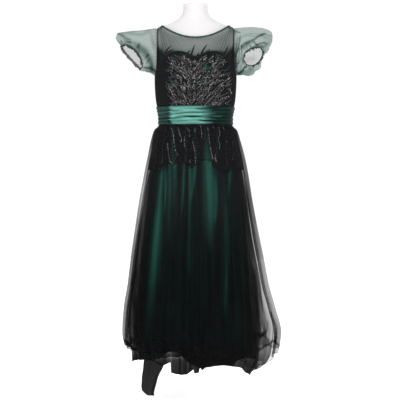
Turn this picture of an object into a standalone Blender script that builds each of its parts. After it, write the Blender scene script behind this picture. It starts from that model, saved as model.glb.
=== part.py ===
"""Evening dress on a limbless dress form.

A floor-length gown: a boat-necked bodice of net over a strapless underbodice, short puffed
sleeves with frilled cuffs, a pleated satin sash, and a skirt of four layers. From the inside
they are satin, an under layer of tulle, a lace peplum and a gathered outer tulle.

Units are metres and +Z is up. The front faces -Y and +X is the viewer's right. The origin is
the centre of the underside of the stand's base. Angles run from +X over the front to -X.
"""
import math

import bpy
import numpy as np

# Cloth
WALL = 0.0014
SEAM_GAP = 0.0003
LINING_STEP = 0.0023
LAYER_CLEARANCE = 0.0014

# Heights of the main lines
BODICE_BOTTOM = 1.179
UNDERARM = 1.376
SHOULDER = 1.578
FRONT_NECK = 1.5335
BACK_NECK = 1.555
NECK_END_X = 0.146
NECK_END_Z = 1.589
BUST = 1.335

# Counts
HALF_COLUMNS = 18
SLEEVE_FOLDS = 7
FRILL_WAVES = 9
COLUMNS_PER_FOLD = 4
SASH_PLEATS = 5

# Roundness of the sections: 2 is an ellipse, and more is squarer. The skirt turns as square as
# the bodice from this height up to the sash
TORSO_ROUNDNESS = 2.3
SKIRT_ROUNDNESS = 2.06
SQUARE_FROM = 0.90

# Sash
SASH_BOTTOM = 1.165
SASH_TOP = 1.242
SASH_PLEAT_DEPTH = 0.0022

# Zip
ZIP_HALF_WIDTH = 0.0025
SLIDER_BELOW_TOP = 0.014
PULL_HINGE = 0.007
PULL_HEIGHT = 0.002

# Stand
BASE_RADIUS = 0.165
BASE_THICKNESS = 0.008
BOSS_TOP = 0.030
POLE_RADIUS = 0.0125
FORM_BOTTOM = 0.912


def table(columns, *rows):
    """One array for each named column, with the rows sorted by the first one."""
    values = np.array(sorted(rows))
    return dict(zip(columns.split(), values.T))


# The overlay bodice's outer face: half width, depth to the front and back, and how far the
# armhole's edge lies in front of and behind the side seam
TORSO = table(
    "z half front back arm_front arm_back",
    (1.160, 0.1505, 0.1070, 0.0990, 0.000, 0.000),
    (1.182, 0.1512, 0.1076, 0.0998, 0.000, 0.000),
    (1.205, 0.1572, 0.1112, 0.1022, 0.000, 0.000),
    (1.235, 0.1640, 0.1165, 0.1058, 0.000, 0.000),
    (1.273, 0.1710, 0.1220, 0.1080, 0.000, 0.000),
    (1.325, 0.1750, 0.1300, 0.1120, 0.000, 0.000),
    (1.359, 0.1760, 0.1330, 0.1130, 0.000, 0.000),
    (1.376, 0.1755, 0.1330, 0.1130, 0.000, 0.000),
    (1.390, 0.1715, 0.1325, 0.1130, 0.026, 0.028),
    (1.410, 0.1680, 0.1310, 0.1120, 0.044, 0.047),
    (1.453, 0.1655, 0.1180, 0.1090, 0.058, 0.062),
    (1.490, 0.1650, 0.0980, 0.1060, 0.050, 0.064),
    (1.530, 0.1650, 0.0750, 0.1000, 0.036, 0.055),
    (1.555, 0.1650, 0.0660, 0.0900, 0.022, 0.040),
    (1.570, 0.1648, 0.0600, 0.0800, 0.014, 0.022),
    (1.578, 0.1645, 0.0580, 0.0720, 0.000, 0.000),
    (1.589, 0.1460, 0.0560, 0.0680, 0.000, 0.000),
)
BODICE_ROWS = (1.179, 1.210, 1.250, 1.290, 1.335, 1.376, 1.390, 1.412, 1.450, 1.490, 1.527, 1.556, 1.578)

# The skirt's layers: mean half widths and depths of the outer face, and how far each fold
# stands out and in from them
OVER = table(
    "z left right front back fold",
    (1.177, 0.1560, 0.1560, 0.1123, 0.1044, 0.0000),
    (1.165, 0.1560, 0.1560, 0.1123, 0.1044, 0.0000),
    (1.146, 0.1740, 0.1740, 0.1290, 0.1230, 0.0020),
    (1.100, 0.1885, 0.1885, 0.1435, 0.1395, 0.0033),
    (1.030, 0.2020, 0.2060, 0.1570, 0.1560, 0.0055),
    (0.950, 0.2180, 0.2210, 0.1745, 0.1760, 0.0070),
    (0.850, 0.2360, 0.2350, 0.1940, 0.1960, 0.0090),
    (0.690, 0.2590, 0.2625, 0.2240, 0.2260, 0.0115),
    (0.585, 0.2725, 0.2835, 0.2410, 0.2430, 0.0130),
    (0.480, 0.2845, 0.3040, 0.2570, 0.2580, 0.0140),
    (0.380, 0.3000, 0.3325, 0.2720, 0.2730, 0.0150),
    (0.275, 0.3060, 0.3575, 0.2800, 0.2840, 0.0160),
    (0.225, 0.2985, 0.3530, 0.2760, 0.2820, 0.0150),
    (0.180, 0.2890, 0.3440, 0.2700, 0.2760, 0.0130),
)
PEPLUM = table(
    "z left right front back fold",
    (1.177, 0.1534, 0.1534, 0.1097, 0.1018, 0.0000),
    (1.165, 0.1534, 0.1534, 0.1097, 0.1018, 0.0000),
    (1.146, 0.1700, 0.1700, 0.1250, 0.1190, 0.0008),
    (1.100, 0.1825, 0.1825, 0.1375, 0.1335, 0.0015),
    (1.030, 0.1920, 0.1940, 0.1480, 0.1470, 0.0024),
    (0.960, 0.2060, 0.2070, 0.1600, 0.1610, 0.0030),
)
UNDER = table(
    "z left right front back fold",
    (1.177, 0.1508, 0.1508, 0.1071, 0.0992, 0.0000),
    (1.165, 0.1508, 0.1508, 0.1071, 0.0992, 0.0000),
    (1.146, 0.1660, 0.1660, 0.1210, 0.1150, 0.0008),
    (1.100, 0.1775, 0.1775, 0.1325, 0.1285, 0.0015),
    (1.030, 0.1860, 0.1870, 0.1410, 0.1400, 0.0024),
    (0.894, 0.2090, 0.2090, 0.1680, 0.1700, 0.0040),
    (0.690, 0.2360, 0.2360, 0.2030, 0.2050, 0.0070),
    (0.480, 0.2580, 0.2740, 0.2270, 0.2290, 0.0090),
    (0.275, 0.2720, 0.2950, 0.2500, 0.2540, 0.0110),
    (0.225, 0.2720, 0.3160, 0.2530, 0.2570, 0.0120),
    (0.198, 0.2760, 0.3280, 0.2560, 0.2600, 0.0120),
    (0.160, 0.2720, 0.3120, 0.2530, 0.2580, 0.0110),
    (0.115, 0.2600, 0.2640, 0.2430, 0.2480, 0.0090),
)
SATIN = table(
    "z left right front back fold",
    (1.177, 0.1482, 0.1482, 0.1045, 0.0966, 0.0000),
    (1.165, 0.1482, 0.1482, 0.1045, 0.0966, 0.0000),
    (1.146, 0.1620, 0.1620, 0.1170, 0.1110, 0.0008),
    (1.100, 0.1705, 0.1705, 0.1255, 0.1215, 0.0015),
    (1.030, 0.1780, 0.1780, 0.1330, 0.1310, 0.0030),
    (0.894, 0.1960, 0.1960, 0.1520, 0.1540, 0.0050),
    (0.690, 0.2110, 0.2110, 0.1740, 0.1780, 0.0080),
    (0.480, 0.2220, 0.2240, 0.1880, 0.1920, 0.0100),
    (0.275, 0.2310, 0.2350, 0.1980, 0.2040, 0.0120),
    (0.160, 0.2330, 0.2370, 0.2000, 0.2060, 0.0120),
)

# Heights of the layers' lower edges around the body
OVER_HEM = table(
    "angle z",
    (0, 0.200), (30, 0.190), (60, 0.215), (90, 0.195), (120, 0.210), (150, 0.200),
    (180, 0.222), (210, 0.205), (240, 0.215), (270, 0.200), (300, 0.215), (330, 0.195), (360, 0.200),
)
UNDER_HEM = table(
    "angle z",
    (0, 0.135), (25, 0.120), (45, 0.126), (60, 0.140), (75, 0.150), (90, 0.135), (105, 0.128),
    (115, 0.132), (130, 0.165), (150, 0.168), (180, 0.146), (210, 0.140), (240, 0.130),
    (270, 0.140), (300, 0.130), (330, 0.140), (360, 0.135),
)
PEPLUM_HEM = table(
    "angle z",
    (0, 0.975), (20, 0.965), (45, 0.960), (60, 0.985), (75, 0.992), (90, 0.976), (105, 0.990),
    (120, 0.980), (140, 0.992), (160, 0.965), (180, 0.975), (200, 0.965), (225, 0.985),
    (250, 0.970), (270, 0.985), (290, 0.968), (315, 0.985), (340, 0.968), (360, 0.975),
)
SATIN_HEM = table(
    "angle z",
    (0, 0.165), (40, 0.155), (65, 0.157), (85, 0.160), (105, 0.178), (125, 0.183), (150, 0.173),
    (180, 0.162), (270, 0.165), (360, 0.165),
)

# The underbodice's top edge over the front, by distance from the centre
SWEETHEART = table(
    "x z",
    (0.000, 1.450), (0.022, 1.456), (0.050, 1.468), (0.082, 1.474), (0.110, 1.472),
    (0.135, 1.460), (0.155, 1.422), (0.176, 1.372),
)
LINING_BACK_TOP = 1.385
LINING_ROWS = {-1: (1, 2, 4, 5, 6, 7), 1: (1, 2, 3, 4, 5, 6)}

# How far the sash's inner face stands off the bodice, over the gathers and above them
SASH_INSIDE = table("z off", (1.165, 0.0068), (1.181, 0.0066), (1.210, 0.0010), (1.242, 0.0008))

# Each sleeve's four rails, as distances out from the centre, to the front and back, and up
SLEEVE_COLUMNS = "v x y z"
LEFT_SLEEVE = {
    "top": table(SLEEVE_COLUMNS, (0, 0.1648, 0, 1.578), (0.25, 0.206, 0, 1.575),
                 (0.5, 0.2705, 0, 1.565), (0.75, 0.333, 0, 1.5545), (0.88, 0.339, 0, 1.537),
                 (1, 0.3135, 0, 1.505)),
    "front": table(SLEEVE_COLUMNS, (0, 0.165, -0.058, 1.475), (0.25, 0.190, -0.100, 1.485),
                   (0.5, 0.222, -0.118, 1.495), (0.75, 0.250, -0.100, 1.490), (1, 0.2495, -0.050, 1.4775)),
    "bottom": table(SLEEVE_COLUMNS, (0, 0.1758, 0, 1.376), (0.25, 0.197, 0, 1.3846),
                    (0.5, 0.2125, 0, 1.3945), (0.75, 0.2240, 0, 1.4020), (1, 0.2290, 0, 1.4120)),
    "back": table(SLEEVE_COLUMNS, (0, 0.165, 0.062, 1.475), (0.25, 0.195, 0.105, 1.470),
                  (0.5, 0.232, 0.122, 1.462), (0.75, 0.268, 0.105, 1.455), (1, 0.2752, 0.045, 1.4515)),
}
RIGHT_SLEEVE = {
    "top": table(SLEEVE_COLUMNS, (0, 0.1648, 0, 1.578), (0.25, 0.215, 0, 1.5824),
                 (0.5, 0.275, 0, 1.581), (0.75, 0.325, 0, 1.558), (0.90, 0.320, -0.025, 1.520),
                 (1, 0.268, -0.052, 1.492)),
    "front": table(SLEEVE_COLUMNS, (0, 0.165, -0.058, 1.475), (0.25, 0.190, -0.092, 1.486),
                   (0.5, 0.203, -0.102, 1.487), (0.75, 0.212, -0.104, 1.480), (1, 0.205, -0.085, 1.462)),
    "bottom": table(SLEEVE_COLUMNS, (0, 0.1758, 0, 1.376), (0.25, 0.200, 0, 1.377),
                    (0.5, 0.222, 0, 1.380), (0.75, 0.238, -0.010, 1.392), (1, 0.226, -0.040, 1.420)),
    "back": table(SLEEVE_COLUMNS, (0, 0.165, 0.062, 1.475), (0.25, 0.198, 0.100, 1.462),
                  (0.5, 0.240, 0.110, 1.445), (0.75, 0.285, 0.060, 1.435), (1, 0.277, -0.015, 1.448)),
}
SLEEVE_FOLD = table("v fold", (0, 0.0), (0.15, 0.0035), (0.45, 0.0020), (0.8, 0.0060), (1, 0.0))
FRILL_LENGTH = 0.011
FRILL_FLARE = 0.003

# The dress form's sections: half width, half depth, how far back the centre lies, and how
# square the section is, from a lens at the shoulders to a near ellipse elsewhere
FORM = table(
    "z half depth centre roundness",
    (0.912, 0.1400, 0.0980, 0.005, 2.15), (0.930, 0.1480, 0.1040, 0.005, 2.15),
    (1.000, 0.1480, 0.1030, 0.005, 2.15), (1.080, 0.1390, 0.0960, 0.004, 2.15),
    (1.140, 0.1270, 0.0880, 0.003, 2.15), (1.195, 0.1230, 0.0860, 0.002, 2.15),
    (1.273, 0.1310, 0.0930, 0.000, 2.15), (1.325, 0.1420, 0.1030, -0.003, 2.15),
    (1.376, 0.1490, 0.1090, -0.004, 2.15), (1.410, 0.1510, 0.1060, -0.002, 2.15),
    (1.453, 0.1550, 0.0980, 0.002, 2.15), (1.490, 0.1590, 0.0900, 0.003, 2.15),
    (1.530, 0.1610, 0.0760, 0.006, 2.00), (1.552, 0.1615, 0.0680, 0.006, 1.75),
    (1.569, 0.1600, 0.0620, 0.005, 1.50), (1.5806, 0.1537, 0.0600, 0.004, 1.30),
    (1.5892, 0.1385, 0.0595, 0.003, 1.25), (1.598, 0.1170, 0.0590, 0.002, 1.35),
    (1.6155, 0.0820, 0.0580, 0.001, 1.80), (1.628, 0.0660, 0.0570, -0.001, 2.05),
    (1.643, 0.0570, 0.0555, -0.003, 2.10), (1.660, 0.0540, 0.0540, -0.005, 2.10),
    (1.6813, 0.0535, 0.0535, -0.006, 2.10),
)
FORM_SIDES = 24


def smooth_curve(places, knots, values):
    """Monotone cubic through the knots, so that an outline never overshoots its table."""
    step = np.diff(knots)
    slope = np.diff(values) / step
    before, after = slope[:-1], slope[1:]
    total = np.where(before + after == 0, 1, before + after)
    inner = np.where(before * after > 0, 2 * before * after / total, 0)
    tangent = np.concatenate([slope[:1], inner, slope[-1:]])
    place = np.clip(places, knots[0], knots[-1])
    index = np.clip(np.searchsorted(knots, place, side="right") - 1, 0, len(step) - 1)
    t = (place - knots[index]) / step[index]
    start = values[index] * (1 + 2 * t) * (1 - t) ** 2 + tangent[index] * step[index] * t * (1 - t) ** 2
    end = values[index + 1] * t * t * (3 - 2 * t) + tangent[index + 1] * step[index] * t * t * (t - 1)
    return start + end


def read(data, column, places):
    """A table's column at the given places of its first column."""
    knots = next(iter(data.values()))
    return smooth_curve(np.asarray(places, dtype=float), knots, data[column])


def signed_power(value, power):
    """The value's size raised to a power, with its sign kept."""
    return np.sign(value) * np.abs(value) ** power


def surface_normals(points, closed):
    """Unit normals of a grid of points: the way up crossed with the way around."""
    up = np.gradient(points, axis=0)
    if closed:
        around = np.roll(points, -1, axis=1) - np.roll(points, 1, axis=1)
    else:
        around = np.gradient(points, axis=1)
    normal = np.cross(up, around)
    return normal / np.linalg.norm(normal, axis=2, keepdims=True)


def finish_from_srgb(name, red, green, blue, roughness, metallic=0.0, alpha=1.0):
    """A Principled material whose colour is given as screen values from 0 to 255."""
    screen = np.array([red, green, blue]) / 255
    linear = np.where(screen <= 0.04045, screen / 12.92, ((screen + 0.055) / 1.055) ** 2.4)
    material = bpy.data.materials.new(name)
    material.use_nodes = True
    shader = material.node_tree.nodes["Principled BSDF"]
    shader.inputs["Base Color"].default_value = (*linear, 1)
    shader.inputs["Roughness"].default_value = roughness
    shader.inputs["Metallic"].default_value = metallic
    shader.inputs["Alpha"].default_value = alpha
    return material


def add_object(name, points, faces, material, origin=(0, 0, 0)):
    """A mesh object from points in the world, with its own origin."""
    mesh = bpy.data.meshes.new(name)
    mesh.from_pydata((np.asarray(points) - origin).tolist(), [], [list(face) for face in faces])
    mesh.shade_smooth()
    mesh.set_sharp_from_angle(angle=math.radians(50))
    mesh.materials.append(material)
    piece = bpy.data.objects.new(name, mesh)
    piece.location = origin
    bpy.context.collection.objects.link(piece)
    return piece


def cloth_wall(name, outer, inner, material, closed=False):
    """A closed wall between two grids of points: both faces, the ends and the side edges."""
    rows, columns = outer.shape[:2]
    index = np.arange(rows * columns).reshape(rows, columns)
    if closed:
        index = np.hstack([index, index[:, :1]])
    inside = rows * columns

    def quads(*corners):
        return np.stack(corners, axis=-1).reshape(-1, 4)

    low_left, high_left = index[:-1, :-1], index[1:, :-1]
    low_right, high_right = index[:-1, 1:], index[1:, 1:]
    bottom, top, left, right = index[0], index[-1], index[:, 0], index[:, -1]
    faces = [
        quads(low_left, high_left, high_right, low_right),
        quads(low_left, low_right, high_right, high_left) + inside,
        quads(bottom[:-1], bottom[1:], bottom[1:] + inside, bottom[:-1] + inside),
        quads(top[1:], top[:-1], top[:-1] + inside, top[1:] + inside),
    ]
    if not closed:
        faces.append(quads(left[1:], left[:-1], left[:-1] + inside, left[1:] + inside))
        faces.append(quads(right[:-1], right[1:], right[1:] + inside, right[:-1] + inside))
    faces = np.vstack(faces)
    facing = np.sum(surface_normals(outer, closed) * (outer - inner))
    if facing < 0:
        faces = faces[:, ::-1]
    points = np.vstack([outer.reshape(-1, 3), inner.reshape(-1, 3)])
    return add_object(name, points, faces, material)


def behind_seam(points, axis, side, gap=SEAM_GAP / 2):
    """The points, none nearer than the gap to the plane of the seam across an axis."""
    kept = points.copy()
    kept[..., axis] = side * np.maximum(side * kept[..., axis], gap)
    return kept


def seamed_panel(name, outer, inner, material, side, centre_side=0):
    """A front (-1) or back (1) panel between the side seams, or half of it at the zip."""
    if centre_side:
        middle = outer.shape[1] // 2
        span = slice(0, middle + 1) if centre_side * outer[0, 0, 0] > 0 else slice(middle, None)
        outer, inner = outer[:, span], inner[:, span]
        edge = ZIP_HALF_WIDTH + SEAM_GAP
        outer = behind_seam(outer, 0, centre_side, edge)
        inner = behind_seam(inner, 0, centre_side, edge)
    outer = behind_seam(outer, 1, side)
    inner = behind_seam(inner, 1, side)
    return cloth_wall(name, outer, inner, material)


def torso(angle, height, side):
    """Points on the overlay's outer face, where side is -1 in front and 1 behind."""
    power = 2 / TORSO_ROUNDNESS
    depth_name, arm_name = ("front", "arm_front") if side < 0 else ("back", "arm_back")
    half = read(TORSO, "half", height)
    depth = read(TORSO, depth_name, height)
    arm = read(TORSO, arm_name, height)
    x = half * signed_power(np.cos(angle), power)
    y = side * (arm + (depth - arm) * np.abs(np.sin(angle)) ** power)
    return np.stack([x, y, height + 0 * x], axis=-1)


def neckline_height(x, side):
    """The neckline's height by distance from the centre."""
    reach = np.minimum(np.abs(x) / NECK_END_X, 1)
    if side < 0:
        return FRONT_NECK + (NECK_END_Z - FRONT_NECK) * reach ** 2.1
    return BACK_NECK + (NECK_END_Z - BACK_NECK) * reach ** 2


def bodice_grid(side):
    """The bodice's outer face on one side, from the waist to the shoulder and neckline.

    The first and last columns end at the shoulder's outer corner, the next ones at the
    neckline's ends, and those between along the neckline.
    """
    column = np.arange(HALF_COLUMNS + 1)
    low_angle = np.pi * column / HALF_COLUMNS
    along = np.clip((column - 1) / (HALF_COLUMNS - 2), 0, 1)
    neck_x = NECK_END_X * (0.5 * np.cos(np.pi * along) + 0.5 * (1 - 2 * along))
    top = neckline_height(neck_x, side)
    top[[0, -1]] = SHOULDER
    cosine = np.clip(neck_x / read(TORSO, "half", top), -1, 1)
    cosine[[0, -1]] = (1, -1)
    top_angle = np.arccos(signed_power(cosine, TORSO_ROUNDNESS / 2))
    share = (np.array(BODICE_ROWS) - BODICE_BOTTOM) / (SHOULDER - BODICE_BOTTOM)
    height = BODICE_BOTTOM + share[:, None] * (top - BODICE_BOTTOM)
    rise = np.clip((height - BUST) / (top - BUST), 0, 1)
    angle = low_angle + (top_angle - low_angle) * rise * rise * (3 - 2 * rise)
    return torso(angle, height, side)


def grid_at_heights(grid, share):
    """Points of each column at a share of its rows, straight between the rows."""
    place = np.clip(share, 0, 1) * (grid.shape[0] - 1)
    row = np.minimum(place.astype(int), grid.shape[0] - 2)
    part = (place - row)[..., None]
    column = np.arange(grid.shape[1])
    return grid[row, column] * (1 - part) + grid[row + 1, column] * part


def share_of_height(grid, height):
    """Where each column reaches a height, as a share of its rows."""
    levels = grid[..., 2]
    rows = np.arange(grid.shape[0])
    places = [np.interp(h, levels[:, c], rows) for c, h in enumerate(height)]
    return np.array(places) / (grid.shape[0] - 1)


def lining_shares(top_share, overlay_rows):
    """Rows of the underbodice, on some of the overlay's rows but never above its own top edge."""
    rows = [np.zeros_like(top_share)]
    for row in overlay_rows:
        share = row / (len(BODICE_ROWS) - 1)
        rows.append(np.minimum(share, (rows[-1] + top_share) / 2))
    return np.vstack(rows + [top_share])


def add_bodice(net, lining):
    """The net overlay and the underbodice beneath it, front and back."""
    grids = {}
    for side, label in ((-1, "front"), (1, "back")):
        outer = bodice_grid(side)
        flip = side > 0
        normal = surface_normals(outer, closed=False) * (-1 if flip else 1)
        grids[label] = (outer, normal)
        width = np.abs(outer[5, :, 0])
        if side < 0:
            top = smooth_curve(width, SWEETHEART["x"], SWEETHEART["z"])
        else:
            top = LINING_BACK_TOP - 0.013 * (width / width.max()) ** 4
        lining_rows = lining_shares(share_of_height(outer, top), LINING_ROWS[side])
        lining_outer = grid_at_heights(outer, lining_rows)
        lining_normal = grid_at_heights(normal, lining_rows)
        pieces = (
            ("bodice_" + label, outer, normal, 0, net),
            ("underbodice_" + label, lining_outer, lining_normal, LINING_STEP, lining),
        )
        for name, points, out, inset, material in pieces:
            face = points - inset * out
            back_face = face - WALL * out
            if side < 0:
                seamed_panel(name, face, back_face, material, side)
                continue
            face, back_face = face[:, ::-1], back_face[:, ::-1]
            for centre_side, hand in ((-1, "left"), (1, "right")):
                seamed_panel(name + "_" + hand, face, back_face, material, side, centre_side)
    return grids


def add_neck_binding(grids, material):
    """The rolled binding along the whole neckline, just off the bodice's top edge."""
    radius = 0.0024
    loops = []
    for label in ("front", "back"):
        outer, normal = grids[label]
        edge = outer[-1, 1:-1]
        along = np.gradient(edge, axis=0)
        along /= np.linalg.norm(along, axis=1, keepdims=True)
        rise = edge - outer[-2, 1:-1]
        rise -= np.sum(rise * along, axis=1, keepdims=True) * along
        rise /= np.linalg.norm(rise, axis=1, keepdims=True)
        middle = edge - WALL / 2 * normal[-1, 1:-1]
        loops.append(middle + (radius + 2 * SEAM_GAP) * rise)
    front, back = loops
    ends = (front[[0, -1]] + back[[0, -1]]) / 2
    ends[:, 1] = 0
    path = np.vstack([ends[:1], front[1:-1], ends[1:], back[-2:0:-1]])
    curve = bpy.data.curves.new("neck_binding", "CURVE")
    curve.dimensions = "3D"
    curve.bevel_depth = radius
    curve.bevel_resolution = 2
    spline = curve.splines.new("POLY")
    spline.points.add(len(path) - 1)
    spline.points.foreach_set("co", np.column_stack([path, np.ones(len(path))]).ravel())
    spline.use_cyclic_u = True
    curve.materials.append(material)
    bpy.context.collection.objects.link(bpy.data.objects.new("neck_binding", curve))


def sash_offsets(height):
    """How far the sash's inner and outer faces lie off the bodice, with its soft pleats."""
    inner = smooth_curve(height, SASH_INSIDE["z"], SASH_INSIDE["off"])
    share = (height - SASH_BOTTOM) / (SASH_TOP - SASH_BOTTOM)
    pleat = SASH_PLEAT_DEPTH / 2 * (1 - np.cos(2 * np.pi * SASH_PLEATS * share))
    return inner, inner + WALL + pleat


def add_sash(grids, material):
    """The pleated sash: one front piece, and two back pieces that meet at the centre."""
    height = np.linspace(SASH_BOTTOM, SASH_TOP, 2 * SASH_PLEATS + 1)
    low, high = sash_offsets(height)
    for side, label in ((-1, "front"), (1, "back")):
        bodice = grids[label][0]
        columns = bodice.shape[1]
        share = np.stack([share_of_height(bodice, np.full(columns, level)) for level in height])
        base = grid_at_heights(bodice, share)
        base[..., 2] = height[:, None]
        normal = surface_normals(base, closed=False) * (1 if side < 0 else -1)
        face = base + high[:, None, None] * normal
        back_face = base + low[:, None, None] * normal
        if side < 0:
            seamed_panel("sash_front", face, back_face, material, side)
            continue
        face, back_face = face[:, ::-1], back_face[:, ::-1]
        for centre_side, hand in ((-1, "left"), (1, "right")):
            middle = HALF_COLUMNS // 2
            span = slice(middle, None) if centre_side > 0 else slice(0, middle + 1)
            outer = behind_seam(behind_seam(face[:, span], 0, centre_side), 1, side)
            inner = behind_seam(behind_seam(back_face[:, span], 0, centre_side), 1, side)
            cloth_wall("sash_back_" + hand, outer, inner, material)


def ring_reach(outline, outside, height):
    """A layer's mean sizes at a height, never too near the folds of the layer outside it."""
    sizes = {name: read(outline, name, height) for name in ("left", "right", "front", "back", "fold")}
    if outside is None:
        return sizes
    limit = outside(height)
    apart = limit["fold"] + sizes["fold"] + WALL + LAYER_CLEARANCE
    for name in ("left", "right", "front", "back"):
        sizes[name] = np.minimum(sizes[name], limit[name] - apart)
    return sizes


def over_reach(height):
    """Sizes of the outer tulle."""
    return ring_reach(OVER, None, height)


def peplum_reach(height):
    """Sizes of the lace peplum."""
    return ring_reach(PEPLUM, over_reach, height)


def under_reach(height):
    """Sizes of the under tulle, inside the peplum and below it inside the outer tulle."""
    beside = ring_reach(UNDER, over_reach, height)
    below_peplum = height < PEPLUM["z"][0]
    inside = ring_reach(UNDER, peplum_reach, height)
    return {name: np.where(below_peplum, beside[name], inside[name]) for name in beside}


def satin_reach(height):
    """Sizes of the satin skirt."""
    return ring_reach(SATIN, under_reach, height)


def skirt_grid(reach, hem, folds, level_rows, fall_shares, phase):
    """A skirt layer's outer face, with its folds, from the hem up to the waist.

    Rows above the lowest level row are level. Those below it share out the way down to the
    hem. Folds are wider at the sides than at the front and back, and differ in depth.
    """
    turn = np.arange(folds * COLUMNS_PER_FOLD) / (folds * COLUMNS_PER_FOLD)
    angle = 2 * np.pi * turn + 0.11 * np.sin(4 * np.pi * turn) + 0.035 * np.sin(12 * np.pi * turn)
    hem_height = np.interp(np.degrees(angle), hem["angle"], hem["z"])
    anchor = min(level_rows)
    falling = hem_height + np.array(fall_shares)[:, None] * (anchor - hem_height)
    level = np.sort(np.array(level_rows))[:, None] + 0 * angle
    height = np.vstack([falling, level])
    size = reach(height)
    squareness = np.clip((height - SQUARE_FROM) / (SASH_BOTTOM - SQUARE_FROM), 0, 1)
    power = 2 / (SKIRT_ROUNDNESS + (TORSO_ROUNDNESS - SKIRT_ROUNDNESS) * squareness)
    cosine, sine = np.cos(angle), np.sin(angle)
    width = np.where(cosine > 0, size["right"], size["left"])
    depth = np.where(sine > 0, size["front"], size["back"])
    depth_of_fold = 0.80 + 0.20 * np.cos(6 * np.pi * turn + phase)
    wave = size["fold"] * depth_of_fold * np.cos(2 * np.pi * folds * turn)
    out_x, out_y = cosine / width, -sine / depth
    length = np.hypot(out_x, out_y)
    x = width * signed_power(cosine, power) + wave * out_x / length
    y = -depth * signed_power(sine, power) + wave * out_y / length
    return np.stack([x, y, height], axis=-1)


def add_skirt_layer(name, grid, material):
    """A layer's front and back panels, which meet at the side seams."""
    inner = grid - WALL * surface_normals(grid, closed=True)
    columns = grid.shape[1]
    half = columns // 2
    for label, start, side in (("front", 0, -1), ("back", half, 1)):
        span = np.arange(start, start + half + 1) % columns
        seamed_panel(name + "_" + label, grid[:, span], inner[:, span], material, side)
    return grid, inner


def add_hem_tail(grid, inner, material):
    """The loose end of tulle that hangs from the under layer's hem in front."""
    first, last = 21, 25
    gap = np.array([0, 0, SEAM_GAP])
    drop = np.linspace(1, 0, 6)[:, None]
    across = np.linspace(-1, 1, last - first + 1)
    bottom = 0.025 + 0.018 * across ** 2
    width = 1 - 0.30 * drop

    def hang(top):
        middle = top.mean(axis=0)
        x = middle[0] - 0.004 * drop + (top[:, 0] - middle[0]) * width
        fold = 0.004 * np.sin(np.pi * across * 1.5) * drop
        y = middle[1] - 0.012 * drop + (top[:, 1] - middle[1]) * width + fold
        z = top[:, 2] * (1 - drop) + bottom * drop
        return np.stack([x, y, z], axis=-1)

    outer_top = grid[0, first:last + 1] - gap
    outer = hang(outer_top)
    back_face = outer - 1.2 * WALL * surface_normals(outer, closed=False)
    back_face[-1] = inner[0, first:last + 1] - gap
    cloth_wall("hem_tail", outer, back_face, material)


def armhole_loop(grids):
    """The armhole's edge from the shoulder down the front and up the back, with midpoints."""
    first = BODICE_ROWS.index(UNDERARM)
    front = grids["front"][0][first:, 0]
    back = grids["back"][0][first:, 0]
    corners = np.vstack([front[::-1], back[1:-1]])
    corners[:, 1] = np.where(np.abs(corners[:, 1]) < SEAM_GAP, 0, corners[:, 1])
    halfway = (corners + np.roll(corners, -1, axis=0)) / 2
    return np.stack([corners, halfway], axis=1).reshape(-1, 3)


def sleeve_ring(rails, v, turn):
    """A ring through the four rails: mean, first and second harmonics around it."""
    point = {}
    for name, rail in rails.items():
        point[name] = np.stack([read(rail, axis, v) for axis in "xyz"], axis=-1)[..., None, :]
    angle = 2 * np.pi * turn[:, None]
    mean = (point["top"] + point["front"] + point["bottom"] + point["back"]) / 4
    oval = (point["top"] + point["bottom"] - point["front"] - point["back"]) / 4
    return (mean + np.cos(angle) * (point["top"] - point["bottom"]) / 2
            + np.sin(angle) * (point["front"] - point["back"]) / 2 + np.cos(2 * angle) * oval)


def add_sleeve(hand, side, rails, grids, material, trim):
    """A puffed sleeve from the armhole to the cuff, and the frill around the cuff."""
    armhole = armhole_loop(grids)
    columns = len(armhole)
    turn = np.arange(columns) / columns
    v = np.array([0, 0.10, 0.25, 0.45, 0.65, 0.80, 0.91, 1.0])
    ring = sleeve_ring(rails, v, turn)
    start = armhole - sleeve_ring(rails, np.zeros(1), turn)[0]
    grid = ring + ((1 - v) ** 2)[:, None, None] * start
    out = -surface_normals(grid, closed=True)
    fold = read(SLEEVE_FOLD, "fold", v)[:, None] * np.cos(2 * np.pi * SLEEVE_FOLDS * turn)
    outer = grid + fold[..., None] * out
    inner = outer + WALL * surface_normals(outer, closed=True)
    mirror = np.array([side, 1, 1])
    walls = []
    for points in (outer, inner):
        clear = read(TORSO, "half", points[..., 2]) + 2 * SEAM_GAP
        points[..., 0] = np.maximum(points[..., 0], clear)
        walls.append(points * mirror)
    cloth_wall("sleeve_" + hand, *walls, material, closed=True)

    fine_turn = np.arange(FRILL_WAVES * COLUMNS_PER_FOLD) / (FRILL_WAVES * COLUMNS_PER_FOLD)
    edge = np.vstack([outer[-1], outer[-1, :1]])
    rim = np.stack([np.interp(fine_turn * columns, np.arange(columns + 1), e) for e in edge.T], axis=-1)
    middle = rim.mean(axis=0)
    axis = np.cross(rim[0] - rim[len(rim) // 2], rim[len(rim) // 4] - rim[3 * len(rim) // 4])
    axis /= np.linalg.norm(axis)
    spoke = rim - middle
    spoke /= np.linalg.norm(spoke, axis=1, keepdims=True)
    reach = np.array([2 * SEAM_GAP, FRILL_LENGTH / 2, FRILL_LENGTH])
    wave = 0.3 + np.cos(2 * np.pi * FRILL_WAVES * fine_turn)
    flare = FRILL_FLARE * ((reach / FRILL_LENGTH) ** 2)[:, None] * wave
    frill = rim + reach[:, None, None] * axis + flare[..., None] * spoke
    frill_inner = frill - WALL * spoke
    cloth_wall("cuff_frill_" + hand, frill * mirror, frill_inner * mirror, trim, closed=True)


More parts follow.
